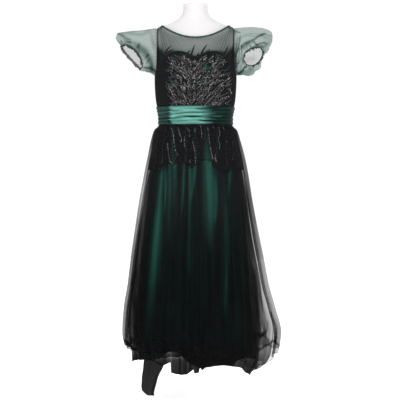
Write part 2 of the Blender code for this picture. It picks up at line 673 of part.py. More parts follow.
def add_zip(grids, cloth, metal):
    """The centre-back zip with its slider, and the pull tab that swings on the slider."""
    middle = grids["back"][0][:, HALF_COLUMNS // 2]
    line = np.repeat(middle[:, None], 2, axis=1)
    line[:, :, 0] = (-ZIP_HALF_WIDTH, ZIP_HALF_WIDTH)
    out = surface_normals(line, closed=False)
    cloth_wall("back_zip", line + 0.0002 * out, line - WALL * out, cloth)

    down = (middle[-2] - middle[-1]) / np.linalg.norm(middle[-2] - middle[-1])
    right = np.array([1, 0, 0])
    off = np.cross(right, down)
    centre = (middle[-1] + SLIDER_BELOW_TOP * down) * (0, 1, 1)

    def plate(name, outline, low, high, origin):
        flat = np.array(outline) / 1000
        across = flat[:, :1] * right + flat[:, 1:] * down + centre
        count = len(outline)
        points = np.vstack([across + low / 1000 * off, across + high / 1000 * off])
        ring = np.arange(count)
        after = (ring + 1) % count
        sides = np.stack([ring, after, after + count, ring + count], axis=1)
        faces = [ring[::-1].tolist(), (ring + count).tolist(), *sides.tolist()]
        return add_object(name, points, faces, metal, origin)

    slider = [(-3, -5), (3, -5), (3, 8.5), (2.2, 8.5), (2.2, 5), (-2.2, 5), (-2.2, 8.5), (-3, 8.5)]
    pull = [(-1.8, 5.7), (1.8, 5.7), (1.8, 9.2), (2.5, 9.8), (2.5, 26.5), (1.3, 28),
            (-1.3, 28), (-2.5, 26.5), (-2.5, 9.8), (-1.8, 9.2)]
    hinge = centre + PULL_HINGE * down + PULL_HEIGHT * off
    half_pull = 0.6
    plate("zip_slider", slider, 0.5, 3.3, centre)
    plate("zip_pull", pull, 1000 * PULL_HEIGHT - half_pull, 1000 * PULL_HEIGHT + half_pull, hinge)


def capped_rings(name, rings, material):
    """A closed body through level rings of points, with a flat cap at each end."""
    count, sides = rings.shape[:2]
    index = np.arange(count * sides).reshape(count, sides)
    after = np.roll(index, -1, axis=1)
    walls = np.stack([index[:-1], after[:-1], after[1:], index[1:]], axis=-1).reshape(-1, 4)
    faces = [*walls.tolist(), index[0][::-1].tolist(), index[-1].tolist()]
    return add_object(name, rings.reshape(-1, 3), faces, material)


def add_form(shell, steel, base):
    """The limbless form, the pole that carries it, and the round base."""
    angle = 2 * np.pi * np.arange(FORM_SIDES) / FORM_SIDES
    power = 2 / FORM["roundness"][:, None]
    x = FORM["half"][:, None] * signed_power(np.cos(angle), power)
    y = FORM["centre"][:, None] + FORM["depth"][:, None] * signed_power(np.sin(angle), power)
    z = FORM["z"][:, None] + 0 * angle
    capped_rings("form_torso", np.stack([x, y, z], axis=-1), shell)

    def turned(name, profile, sides, material):
        radius, level = np.array(profile).T
        around = 2 * np.pi * np.arange(sides) / sides
        ring_x = radius[:, None] * np.cos(around)
        ring_y = radius[:, None] * np.sin(around)
        capped_rings(name, np.stack([ring_x, ring_y, level[:, None] + 0 * around], axis=-1), material)

    pole = [(POLE_RADIUS, BOSS_TOP + SEAM_GAP), (POLE_RADIUS, FORM_BOTTOM - SEAM_GAP)]
    turned("stand_pole", pole, 20, steel)
    turned("stand_base", [
        (BASE_RADIUS, 0), (BASE_RADIUS, BASE_THICKNESS - 0.003), (BASE_RADIUS - 0.003, BASE_THICKNESS),
        (0.030, BASE_THICKNESS + 0.004), (0.022, BASE_THICKNESS + 0.010), (0.020, BOSS_TOP),
    ], 36, base)


def build_dress():
    """The whole object, from the stand outwards."""
    for old in list(bpy.data.objects):
        bpy.data.objects.remove(old)

    shell = finish_from_srgb("form_white", 240, 239, 240, 0.55)
    steel = finish_from_srgb("pole_white", 226, 226, 228, 0.35)
    base = finish_from_srgb("base_white", 232, 232, 234, 0.45)
    net = finish_from_srgb("black_net", 30, 32, 32, 0.75, alpha=0.85)
    lining = finish_from_srgb("green_lining", 20, 52, 46, 0.45)
    binding = finish_from_srgb("binding_green", 22, 44, 40, 0.50)
    organza = finish_from_srgb("organza", 120, 140, 134, 0.55, alpha=0.60)
    cuff = finish_from_srgb("cuff_edge", 28, 48, 44, 0.60)
    satin = finish_from_srgb("emerald_satin", 16, 66, 56, 0.30)
    tulle = finish_from_srgb("black_tulle", 34, 33, 34, 0.80, alpha=0.55)
    lace = finish_from_srgb("black_lace", 34, 36, 37, 0.70, alpha=0.85)
    zip_tape = finish_from_srgb("zip_tape", 18, 20, 20, 0.60)
    metal = finish_from_srgb("zip_metal", 60, 62, 64, 0.35, metallic=1.0)

    add_form(shell, steel, base)
    grids = add_bodice(net, lining)
    add_neck_binding(grids, binding)
    add_sleeve("left", -1, LEFT_SLEEVE, grids, organza, cuff)
    add_sleeve("right", 1, RIGHT_SLEEVE, grids, organza, cuff)
    add_sash(grids, satin)
    add_zip(grids, zip_tape, metal)

    gathered = (1.177, 1.165, 1.146, 1.100, 1.030)
    over = skirt_grid(over_reach, OVER_HEM, 20, gathered + (0.950,), (0, 0.12, 0.35, 0.66), 0.4)
    add_skirt_layer("tulle_over", over, tulle)
    peplum = skirt_grid(peplum_reach, PEPLUM_HEM, 12, gathered[:4], (0, 0.5), 1.1)
    add_skirt_layer("peplum", peplum, lace)
    under = skirt_grid(under_reach, UNDER_HEM, 14, gathered, (0, 0.09, 0.38), 2.3)
    under_walls = add_skirt_layer("tulle_under", under, tulle)
    add_hem_tail(*under_walls, tulle)
    satin_skirt = skirt_grid(satin_reach, SATIN_HEM, 14, gathered, (0, 0.45), 3.0)
    add_skirt_layer("satin_skirt", satin_skirt, satin)


build_dress()
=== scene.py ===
# %% [markdown]
# A floor-length evening dress on a limbless dress form.
#
# The dress is a stack of very different cloths: a sheer net yoke, a satin underbodice, lace
# fronds with beads, a pleated sash, a satin skirt and two skirts of tulle. Each one below is a
# surface worked out with numpy from the same outline, so that the layers follow each other.
# The script first loads the solid model, which fixes every size, and then dresses it.

import bmesh
import bpy
import numpy as np
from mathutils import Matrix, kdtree


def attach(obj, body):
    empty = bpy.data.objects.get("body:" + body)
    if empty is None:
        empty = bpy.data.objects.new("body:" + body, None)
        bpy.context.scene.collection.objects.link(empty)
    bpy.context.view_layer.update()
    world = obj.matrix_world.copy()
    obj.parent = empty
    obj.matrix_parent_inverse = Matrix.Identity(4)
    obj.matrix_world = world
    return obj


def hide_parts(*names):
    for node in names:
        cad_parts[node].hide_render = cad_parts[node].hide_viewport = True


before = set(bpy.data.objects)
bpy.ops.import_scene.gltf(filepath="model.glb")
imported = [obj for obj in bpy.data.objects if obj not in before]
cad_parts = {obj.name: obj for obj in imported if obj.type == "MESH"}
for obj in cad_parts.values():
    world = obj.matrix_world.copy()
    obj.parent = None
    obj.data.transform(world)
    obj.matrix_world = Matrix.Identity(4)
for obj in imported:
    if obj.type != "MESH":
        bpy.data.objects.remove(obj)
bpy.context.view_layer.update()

# %% [markdown]
# Tables hold the outline. A smooth curve runs through the rows of a table: a monotone cubic
# never swings past its rows, which keeps a waist a waist and a hem a hem. A plain cubic spline
# would be simpler to call, but it bulges between rows that lie far apart.

# %% Read an outline from a table
def table(columns, *rows):
    """One array for each named column, sorted by the first."""
    values = np.array(sorted(rows))
    return dict(zip(columns.split(), values.T))


def smooth_curve(places, knots, values):
    """Monotone cubic: Hermite pieces whose slopes are harmonic means of the slopes beside them."""
    step = np.diff(knots)
    slope = np.diff(values) / step
    before, after = slope[:-1], slope[1:]
    total = np.where(before + after == 0, 1, before + after)
    inner = np.where(before * after > 0, 2 * before * after / total, 0)
    tangent = np.concatenate([slope[:1], inner, slope[-1:]])
    place = np.clip(places, knots[0], knots[-1])
    index = np.clip(np.searchsorted(knots, place, side="right") - 1, 0, len(step) - 1)
    t = (place - knots[index]) / step[index]
    start = values[index] * (1 + 2 * t) * (1 - t) ** 2 + tangent[index] * step[index] * t * (1 - t) ** 2
    end = values[index + 1] * t * t * (3 - 2 * t) + tangent[index + 1] * step[index] * t * t * (t - 1)
    return start + end


def read(data, column, places):
    """A table's column at the given places of its first column."""
    return smooth_curve(np.asarray(places, dtype=float), next(iter(data.values())), data[column])


def signed_power(value, power):
    """The value's size raised to a power, with its sign kept."""
    return np.sign(value) * np.abs(value) ** power


def smooth_step(value, low, high):
    """0 below low, 1 above high, and an S-shaped rise between them."""
    t = np.clip((value - low) / (high - low), 0, 1)
    return t * t * (3 - 2 * t)


# %% [markdown]
# Cloth is never regular. Cosines of whole-number frequencies with seeded phases add up to a
# noise that closes on itself around a ring, which a plain noise texture doesn't do.

# %% Noise around a ring
def ring_noise(turn, seed, low, high, terms=14):
    """Sum of cosines of random whole frequencies from low to high, scaled to about -1 to 1."""
    random = np.random.default_rng(seed)
    frequency = random.integers(low, high + 1, terms)
    phase = random.uniform(0, 2 * np.pi, terms)
    weight = random.uniform(0.5, 1, terms)
    total = sum(w * np.cos(2 * np.pi * f * turn + p) for f, p, w in zip(frequency, phase, weight))
    return total / np.sqrt(np.sum(weight ** 2) * 2)


def gathers(turn, count, seed, drift=0.0):
    """Folds with round crests and narrow valleys, whose spacing wanders.

    The phase is count times the turn, plus noise and a drift, and the fold is its cosine with
    half as much of the second harmonic turned against it.
    """
    phase = 2 * np.pi * (count * turn + 0.45 * ring_noise(turn, seed, 2, max(3, count // 3)) + drift)
    return (np.cos(phase) - 0.25 * np.cos(2 * phase)) / 1.1


# %% [markdown]
# A grid of points becomes a mesh of four-sided faces. The helper also turns the faces outward,
# lays a UV map over the grid, and stores named values on the points, which materials read. The
# values are how a cloth tells its material where it is dense: an attribute follows the cloth.

# %% Turn a grid into a mesh
def unit(vectors):
    """The same vectors at length 1."""
    return vectors / np.maximum(np.linalg.norm(vectors, axis=-1, keepdims=True), 1e-12)


def surface_normals(points, wrap):
    """Unit normals: the way along the rows crossed with the way along the columns."""
    down = np.gradient(points, axis=0)
    if wrap:
        along = np.roll(points, -1, axis=1) - np.roll(points, 1, axis=1)
    else:
        along = np.gradient(points, axis=1)
    return unit(np.cross(down, along))


def outward_normals(points, wrap, away=None):
    """Unit normals turned away from the upright axis, or the way that is given."""
    normal = surface_normals(points, wrap)
    return normal * np.sign(np.sum(normal * (points * (1, 1, 0) if away is None else away)))


def finish_mesh(name, points, faces, material, uv=None, values=None, smooth=True):
    """An object at the origin from arrays of points and faces, with UVs for each corner."""
    mesh = bpy.data.meshes.new(name)
    mesh.from_pydata(np.asarray(points).reshape(-1, 3), [], faces)
    if smooth:
        mesh.shade_smooth()
    if uv is not None:
        layer = mesh.uv_layers.new(name="UVMap")
        layer.data.foreach_set("uv", np.asarray(uv, dtype=np.float32).ravel())
    for key, value in (values or {}).items():
        attribute = mesh.attributes.new(key, "FLOAT", "POINT")
        attribute.data.foreach_set("value", np.asarray(value, dtype=np.float32).ravel())
    mesh.materials.append(material)
    mesh.update()
    piece = bpy.data.objects.new(name, mesh)
    bpy.context.collection.objects.link(piece)
    return piece


def make_surface(name, points, material, wrap=False, values=None, outward=None):
    """A grid as a mesh, wrapped around if asked, its faces pointing away from its middle."""
    rows, columns = points.shape[:2]
    index = np.arange(rows * columns).reshape(rows, columns)
    number = np.arange(columns if wrap else columns - 1)
    after = (number + 1) % columns
    faces = np.stack([index[:-1][:, number], index[:-1][:, after],
                      index[1:][:, after], index[1:][:, number]], axis=-1).reshape(-1, 4)
    last = columns if wrap else columns - 1
    u = np.stack([number, number + 1, number + 1, number], axis=-1) / last
    v = np.array([0, 0, 1, 1])[None, :] + np.arange(rows - 1)[:, None]
    uv = np.stack(np.broadcast_arrays(u[None], (v / (rows - 1))[:, None]), axis=-1).reshape(-1, 4, 2)
    normal = surface_normals(points, wrap)
    away = points - points.mean(axis=(0, 1)) if outward is None else outward
    if np.sum(normal * away) > 0:
        faces = faces[:, ::-1]
        uv = uv[:, ::-1]
    return finish_mesh(name, points, faces, material, uv, values)


def add_thickness(piece, thickness):
    """Gives an opaque cloth its real thickness, inwards from the modelled face."""
    solid = piece.modifiers.new("thickness", "SOLIDIFY")
    solid.thickness = thickness
    solid.offset = -1.0
    solid.use_even_offset = False


def dress(piece, slot, *nodes):
    """The piece moves with the dress and replaces the nodes. The slot is not used."""
    if nodes:
        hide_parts(*nodes)
    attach(piece, "dress_and_form")


# %% [markdown]
# A finish is a Principled shader with a few nodes in front of it. Screen colours are easier to
# judge than linear ones, so a helper turns values from 0 to 255 into what the shader expects.

# %% Start a finish
def linear(red, green, blue):
    """Linear colour from screen values: the inverse of the sRGB curve."""
    screen = np.array([red, green, blue]) / 255
    value = np.where(screen <= 0.04045, screen / 12.92, ((screen + 0.055) / 1.055) ** 2.4)
    return (*value.tolist(), 1.0)


def start_finish(name, colour, roughness, specular=0.5, metallic=0.0):
    """A new material and short ways to add and join its nodes."""
    material = bpy.data.materials.new(name)
    material.use_nodes = True
    tree = material.node_tree
    shader = tree.nodes["Principled BSDF"]
    shader.inputs["Base Color"].default_value = linear(*colour)
    shader.inputs["Roughness"].default_value = roughness
    shader.inputs["Specular IOR Level"].default_value = specular
    shader.inputs["Metallic"].default_value = metallic

    def add(kind, **settings):
        node = tree.nodes.new("ShaderNode" + kind)
        for key, value in settings.items():
            if key in node.inputs:
                node.inputs[key].default_value = value
            else:
                setattr(node, key, value)
        return node

    def join(source, output, target, socket):
        tree.links.new(source.outputs[output], target.inputs[socket])

    return material, shader, add, join


def stretched_noise(add, join, coordinate, scale, size, detail=3.0):
    """Noise whose grain is longer one way: coordinates are multiplied before the noise."""
    where = add("TexCoord")
    spread = add("Mapping")
    spread.inputs["Scale"].default_value = size
    noise = add("TexNoise", Scale=scale, Detail=detail, Roughness=0.55)
    join(where, coordinate, spread, "Vector")
    join(spread, "Vector", noise, "Vector")
    return noise


def ramp(add, join, source, output, stops):
    """A colour ramp from a list of places and screen colours."""
    node = add("ValToRGB")
    element = node.color_ramp.elements
    while len(element) < len(stops):
        element.new(0.5)
    for item, (place, colour) in zip(element, stops):
        item.position = place
        item.color = linear(*colour)
    join(source, output, node, "Fac")
    return node


def add_bump(add, join, source, output, shader, strength, distance):
    """Relief from a value, in metres of height."""
    bump = add("Bump", Strength=strength, Distance=distance)
    join(source, output, bump, "Height")
    join(bump, "Normal", shader, "Normal")


def grained_finish(name, colour, surface, grain, stops, relief):
    """A finish with a grain that picks its colour from the stops and gives it relief.

    The surface is its roughness, specular and, for metal, how metallic it is. The grain is its
    coordinates, scale and stretch, and the relief its strength and height in metres.
    """
    material, shader, add, join = start_finish(name, colour, *surface)
    noise = stretched_noise(add, join, *grain)
    if stops:
        join(ramp(add, join, noise, "Fac", stops), "Color", shader, "Base Color")
    add_bump(add, join, noise, "Fac", shader, *relief)
    return material, shader


def glow(shader, strength):
    """A white glow, which keeps a white thing white where little light falls on it."""
    shader.inputs["Emission Color"].default_value = (1, 1, 1, 1)
    shader.inputs["Emission Strength"].default_value = strength


# %% [markdown]
# The camera stands 5.5 m in front of the dress at hip height, a little to the right, with a long
# lens, as a shop's photograph is taken. Soft panels on the left and right are nearly alike, so
# that the white neck keeps a soft grey edge on either side, and three more light the front, the
# top and the back. Everything white and empty around the dress comes from the world and the
# floor, and the world is whiter to the camera than to the cloth.

# %% Camera, light and floor
scene = bpy.context.scene
scene.view_settings.view_transform = "Standard"
scene.view_settings.look = "None"
scene.cycles.transparent_max_bounces = 40

CAMERA_X = 0.019
CAMERA_AWAY = 5.5
CAMERA_HEIGHT = 0.95
VIEW_WIDTH = 1.72
PICTURE_MIDDLE = 0.843
camera_data = bpy.data.cameras.new("camera")
camera_data.sensor_width = 36.0
camera_data.lens = 36.0 * CAMERA_AWAY / VIEW_WIDTH
camera = bpy.data.objects.new("camera", camera_data)
camera.location = (CAMERA_X, -CAMERA_AWAY, CAMERA_HEIGHT)
camera.rotation_euler = (np.pi / 2 - np.arctan2(CAMERA_HEIGHT - PICTURE_MIDDLE, CAMERA_AWAY), 0, 0)
scene.collection.objects.link(camera)
scene.camera = camera


def set_world(light, backdrop):
    """A dim even light from all around, and a white that only the camera sees."""
    world = bpy.data.worlds.new("studio")
    world.use_nodes = True
    tree = world.node_tree
    tree.nodes.clear()
    dim = tree.nodes.new("ShaderNodeBackground")
    dim.inputs["Color"].default_value = (1, 1, 1, 1)
    dim.inputs["Strength"].default_value = light
    white = tree.nodes.new("ShaderNodeBackground")
    white.inputs["Color"].default_value = (1, 1, 1, 1)
    white.inputs["Strength"].default_value = backdrop
    path = tree.nodes.new("ShaderNodeLightPath")
    mix = tree.nodes.new("ShaderNodeMixShader")
    output = tree.nodes.new("ShaderNodeOutputWorld")
    tree.links.new(path.outputs["Is Camera Ray"], mix.inputs[0])
    tree.links.new(dim.outputs[0], mix.inputs[1])
    tree.links.new(white.outputs[0], mix.inputs[2])
    tree.links.new(mix.outputs[0], output.inputs["Surface"])
    scene.world = world


def add_panel_light(name, place, aim, width, height, power):
    """A rectangular soft light that faces a point."""
    data = bpy.data.lights.new(name, "AREA")
    data.shape = "RECTANGLE"
    data.size = width
    data.size_y = height
    data.energy = power
    lamp = bpy.data.objects.new(name, data)
    lamp.location = place
    way = np.array(aim, dtype=float) - place
    flat = np.hypot(way[0], way[1])
    lamp.rotation_euler = (np.arctan2(flat, -way[2]), 0, np.arctan2(way[1], way[0]) - np.pi / 2)
    scene.collection.objects.link(lamp)


set_world(0.55, 1.05)
add_panel_light("left", (-2.8, -2.8, 2.2), (0, 0, 1.1), 1.8, 2.2, 18)
add_panel_light("right", (2.8, -2.8, 2.2), (0, 0, 1.1), 1.8, 2.2, 16)
add_panel_light("front", (-0.3, -4.5, 2.0), (0, 0, 1.1), 1.6, 1.6, 27)
add_panel_light("top", (0, -0.6, 3.6), (0, 0, 1.6), 1.6, 1.6, 17)
add_panel_light("back", (1.8, 2.8, 2.4), (0, 0, 1.1), 1.5, 2.0, 18)

FLOOR_HALF = 9.0
floor_finish, floor_shader, _, _ = start_finish("white_floor", (246, 246, 247), 0.6, 0.2)
glow(floor_shader, 0.75)
floor_corners = FLOOR_HALF * np.array([(-1, -1, 0), (1, -1, 0), (1, 1, 0), (-1, 1, 0)])
floor = finish_mesh("floor", floor_corners, [(0, 1, 2, 3)], floor_finish)

# %% [markdown]
# No noise makes the folds of one real dress, so the main ones are listed. A stroke is a
# row of points on the upright plane through the middle of the dress, in millimetres, each with a
# width and a strength. The cloth in front reads the strokes as the camera sees them there. The
# hidden side takes similar ones: the same, mirrored and bent a little.

# %% Strokes
BEND = 9.0
BEND_LENGTH = 110.0


def seen(points):
    """Where points appear on the upright middle plane from the camera, in millimetres."""
    near = CAMERA_AWAY / (CAMERA_AWAY + points[..., 1])
    return (1000 * (CAMERA_X + (points[..., 0] - CAMERA_X) * near),
            1000 * (CAMERA_HEIGHT + (points[..., 2] - CAMERA_HEIGHT) * near))


def stroke_field(x, z, strokes):
    """Sum over the strokes of strength times a bell curve of the distance from the line."""
    total = np.zeros(np.shape(x))
    for stroke in strokes:
        best = np.zeros(np.shape(x))
        for (xa, za, wide_a, strong_a), (xb, zb, wide_b, strong_b) in zip(stroke[:-1], stroke[1:]):
            run, rise = xb - xa, zb - za
            t = np.clip(((x - xa) * run + (z - za) * rise) / (run ** 2 + rise ** 2), 0, 1)
            distance = np.hypot(x - xa - t * run, z - za - t * rise)
            bell = np.exp(-(distance / (wide_a + t * (wide_b - wide_a))) ** 2)
            value = (strong_a + t * (strong_b - strong_a)) * bell
            best = np.where(np.abs(value) > np.abs(best), value, best)
        total = total + best
    return total


def drawn(points, strokes, mirror=-1):
    """The strokes on a piece: as placed in front, and mirrored and bent on the hidden side."""
    front = stroke_field(*seen(points), strokes)
    x, z = seen(points * (mirror, -1, 1))
    back = stroke_field(x + BEND * np.sin(z / BEND_LENGTH), z + 0.6 * BEND * np.sin(z / 67), strokes)
    facing = smooth_step(-points[..., 1], -0.02, 0.02)
    return back + facing * (front - back)


def unseen(x, z, depth):
    """Points at a depth from where the camera sees them: the inverse of seen."""
    away = (CAMERA_AWAY + depth) / CAMERA_AWAY
    across = CAMERA_X + (x / 1000 - CAMERA_X) * away
    up = CAMERA_HEIGHT + (z / 1000 - CAMERA_HEIGHT) * away
    return np.stack(np.broadcast_arrays(across, depth, up), axis=-1)


# %% [markdown]
# The body's outline is a set of level sections. Each is a superellipse: an ellipse whose power
# is a little over two, so that it is squarer than an ellipse. The front and the back have depths
# of their own, and at the armhole the sections start in front of the side seam.

# %% Outline of the bodice
WALL = 0.0014
LINING_STEP = 0.0023
BODICE_BOTTOM = 1.179
SHOULDER = 1.578
FRONT_NECK = 1.5335
BACK_NECK = 1.555
NECK_END_X = 0.146
NECK_END_Z = 1.589
BUST = 1.335
TORSO_ROUNDNESS = 2.3

TORSO = table(
    "z half front back arm_front arm_back",
    (1.160, 0.1505, 0.1070, 0.0990, 0.000, 0.000),
    (1.182, 0.1512, 0.1076, 0.0998, 0.000, 0.000),
    (1.205, 0.1572, 0.1112, 0.1022, 0.000, 0.000),
    (1.235, 0.1640, 0.1165, 0.1058, 0.000, 0.000),
    (1.273, 0.1710, 0.1220, 0.1080, 0.000, 0.000),
    (1.325, 0.1750, 0.1300, 0.1120, 0.000, 0.000),
    (1.359, 0.1760, 0.1330, 0.1130, 0.000, 0.000),
    (1.376, 0.1755, 0.1330, 0.1130, 0.000, 0.000),
    (1.390, 0.1715, 0.1325, 0.1130, 0.026, 0.028),
    (1.410, 0.1680, 0.1310, 0.1120, 0.044, 0.047),
    (1.453, 0.1655, 0.1180, 0.1090, 0.058, 0.062),
    (1.490, 0.1650, 0.0980, 0.1060, 0.050, 0.064),
    (1.530, 0.1650, 0.0750, 0.1000, 0.036, 0.055),
    (1.555, 0.1650, 0.0660, 0.0900, 0.022, 0.040),
    (1.570, 0.1648, 0.0600, 0.0800, 0.014, 0.022),
    (1.578, 0.1645, 0.0580, 0.0720, 0.000, 0.000),
    (1.589, 0.1460, 0.0560, 0.0680, 0.000, 0.000),
)
SWEETHEART = table(
    "x z",
    (0.000, 1.450), (0.022, 1.456), (0.050, 1.468), (0.082, 1.474), (0.110, 1.472),
    (0.135, 1.460), (0.155, 1.422), (0.176, 1.372),
)
LINING_BACK_TOP = 1.385


def torso_point(angle, height, side):
    """A point on the bodice: cosine and sine raised to 2 / roundness, times the half sizes."""
    power = 2 / TORSO_ROUNDNESS
    depth_name, arm_name = ("front", "arm_front") if side < 0 else ("back", "arm_back")
    half, depth = read(TORSO, "half", height), read(TORSO, depth_name, height)
    arm = read(TORSO, arm_name, height)
    x = half * signed_power(np.cos(angle), power)
    y = side * (arm + (depth - arm) * np.abs(np.sin(angle)) ** power)
    return np.stack([x, y, height + 0 * x], axis=-1)


def bodice_grid(side, columns, share):
    """The bodice's face between the side seams, where columns run from 0 to 18.

    The top follows the neckline: its height grows with a power of the distance from the centre.
    The columns start evenly spaced at the waist, and turn to the neckline's own spacing above
    the bust.
    """
    columns = np.asarray(columns, dtype=float)
    along = np.clip((columns - 1) / 16, 0, 1)
    neck_x = NECK_END_X * (0.5 * np.cos(np.pi * along) + 0.5 * (1 - 2 * along))
    reach = np.minimum(np.abs(neck_x) / NECK_END_X, 1)
    low, power = (FRONT_NECK, 2.1) if side < 0 else (BACK_NECK, 2.0)
    top = low + (NECK_END_Z - low) * reach ** power
    from_end = np.minimum(np.minimum(columns, 18 - columns), 1)
    top = np.where(from_end < 1, SHOULDER + (NECK_END_Z - SHOULDER) * from_end, top)
    cosine = np.clip(neck_x / read(TORSO, "half", top), -1, 1)
    cosine = np.where(from_end < 1, np.sign(neck_x), cosine)
    top_angle = np.arccos(signed_power(cosine, TORSO_ROUNDNESS / 2))
    height = BODICE_BOTTOM + np.asarray(share)[:, None] * (top - BODICE_BOTTOM)
    rise = smooth_step(height, BUST, np.broadcast_to(top, height.shape))
    angle = np.pi * columns / 18 + (top_angle - np.pi * columns / 18) * rise
    return torso_point(angle, height, side)


def on_front(x, z, lift):
    """Points and normals on the bodice's front at x and z, from the superellipse solved for y."""
    def depth_at(x, z):
        half, front = read(TORSO, "half", z), read(TORSO, "front", z)
        arm = read(TORSO, "arm_front", z)
        inside = np.clip(1 - np.abs(x / half) ** TORSO_ROUNDNESS, 0, 1)
        return -(arm + (front - arm) * inside ** (1 / TORSO_ROUNDNESS))

    tiny = 0.0005
    y = depth_at(x, z)
    slope_x = (depth_at(x + tiny, z) - depth_at(x - tiny, z)) / (2 * tiny)
    slope_z = (depth_at(x, z + tiny) - depth_at(x, z - tiny)) / (2 * tiny)
    normal = unit(np.stack([np.clip(slope_x, -4, 4), -np.ones_like(x), np.clip(slope_z, -4, 4)], axis=-1))
    return np.stack([x, y, z], axis=-1) + lift * normal, normal


# %% [markdown]
# The form is a smooth white shell, seen at the neck and through the yoke. It could be carved
# from a sculpted body, but a few level sections give the same quiet shape. It is drawn a hair
# slimmer than its solid, so that its rounder sections stay inside the net.

# %% Dress form
FORM = table(
    "z half depth centre roundness",
    (0.912, 0.1400, 0.0980, 0.005, 2.15), (0.930, 0.1480, 0.1040, 0.005, 2.15),
    (1.000, 0.1480, 0.1030, 0.005, 2.15), (1.080, 0.1390, 0.0960, 0.004, 2.15),
    (1.140, 0.1270, 0.0880, 0.003, 2.15), (1.195, 0.1230, 0.0860, 0.002, 2.15),
    (1.273, 0.1310, 0.0930, 0.000, 2.15), (1.325, 0.1420, 0.1030, -0.003, 2.15),
    (1.376, 0.1490, 0.1090, -0.004, 2.15), (1.410, 0.1510, 0.1060, -0.002, 2.15),
    (1.453, 0.1550, 0.0980, 0.002, 2.15), (1.490, 0.1590, 0.0900, 0.003, 2.15),
    (1.530, 0.1610, 0.0760, 0.006, 2.00), (1.552, 0.1615, 0.0680, 0.006, 1.75),
    (1.569, 0.1600, 0.0620, 0.005, 1.50), (1.5806, 0.1537, 0.0600, 0.004, 1.30),
    (1.5892, 0.1385, 0.0595, 0.003, 1.25), (1.598, 0.1170, 0.0590, 0.002, 1.35),
    (1.6155, 0.0820, 0.0580, 0.001, 1.80), (1.628, 0.0660, 0.0570, -0.001, 2.05),
    (1.643, 0.0570, 0.0555, -0.003, 2.10), (1.660, 0.0540, 0.0540, -0.005, 2.10),
    (1.6813, 0.0535, 0.0535, -0.006, 2.10),
)
FORM_SHRINK = 0.0013


def closed_stack(name, half, depth, centre, roundness, height, material, columns=112):
    """Level superellipse rings joined into a body, whose end rings shrink to a point."""
    angle = 2 * np.pi * np.arange(columns) / columns
    power = 2 / roundness[:, None]
    x = half[:, None] * signed_power(np.cos(angle), power)
    y = centre[:, None] + depth[:, None] * signed_power(np.sin(angle), power)
    points = np.stack([x, y, height[:, None] + 0 * angle], axis=-1)
    piece = make_surface(name, points, material, wrap=True)
    weld(piece)
    return piece


def weld(piece):
    """Joins points that share a place, so that poles and seams are closed."""
    work = bmesh.new()
    work.from_mesh(piece.data)
    bmesh.ops.remove_doubles(work, verts=work.verts, dist=1e-6)
    bmesh.ops.recalc_face_normals(work, faces=work.faces)
    work.to_mesh(piece.data)
    work.free()
    piece.data.update()


form_finish, form_shader, add, join = start_finish("form_shell", (243, 241, 242), 0.5, 0.3)
form_grain = stretched_noise(add, join, "Object", 900.0, (1, 1, 1), detail=2.0)
form_tone = stretched_noise(add, join, "Object", 6.0, (1, 1, 1), detail=2.0)
form_colour = ramp(add, join, form_tone, "Fac", [(0.3, (229, 227, 228)), (0.7, (237, 235, 236))])
join(form_colour, "Color", form_shader, "Base Color")
add_bump(add, join, form_grain, "Fac", form_shader, 0.15, 0.0002)

FORM_BOTTOM = 0.912
FORM_TOP = 1.6813
NECK_CUT = np.array([0.0008, 0.0030, 0.0260, 0.0535 - FORM_SHRINK])
form_height = np.concatenate([np.linspace(FORM_BOTTOM, 1.56, 70), np.linspace(1.563, 1.6793, 60)])
heights = np.concatenate([[FORM_BOTTOM] * 2, form_height, [1.6806], [FORM_TOP] * 3])


def capped(column):
    """A column of the form's table with rows for its flat underside and its rounded top edge."""
    values = read(FORM, column, form_height)
    if column in ("centre", "roundness"):
        return np.concatenate([[values[0]] * 2, values, [values[-1]] * 4])
    values = values - FORM_SHRINK
    return np.concatenate([[0, values[0] * 0.5], values, values[-1] - NECK_CUT])


form_shell = closed_stack("form_shell", capped("half"), capped("depth"), capped("centre"),
                          capped("roundness"), heights, form_finish)
dress(form_shell, "form_shell", "form_torso")
print("form shell", len(form_shell.data.polygons), "faces")


# %% [markdown]
# The stand is a pole and a round base of white enamelled steel. Profiles turned around the
# pole's line make both, with a rounded lip on the base. Its enamel is nearly as white as the
# studio, because a shop's photograph shows no stand at all, and it glows faintly: a painted light
# that keeps it white in the skirt's shade.

# %% Stand
def turned(name, profile, material, columns=96):
    """A profile of radius and height turned around the upright axis."""
    radius, height = np.array(profile).T
    around = 2 * np.pi * np.arange(columns) / columns
    ring = np.stack([np.cos(around), np.sin(around), 0 * around], axis=-1)
    points = radius[:, None, None] * ring + height[:, None, None] * np.array([0, 0, 1.0])
    piece = make_surface(name, points, material, wrap=True)
    weld(piece)
    piece.data.set_sharp_from_angle(angle=0.9)
    return piece


AXIS = 0.0001
BASE_RADIUS = 0.165
LIP = 0.003
BOSS_TOP = 0.030
POLE_RADIUS = 0.0125
POLE_LOW = 0.0303
POLE_HIGH = 0.9117

enamel, glowing_enamel_shader = grained_finish(
    "white_enamel", (252, 252, 252), (0.45, 0.2), ("Object", 260.0, (1, 1, 1)),
    [(0.3, (249, 249, 250)), (0.7, (254, 254, 254))], (0.1, 0.0002))
# The enamel's glow is painted light, so that the stand stays white where the skirt shades it.
glow(glowing_enamel_shader, 0.7)

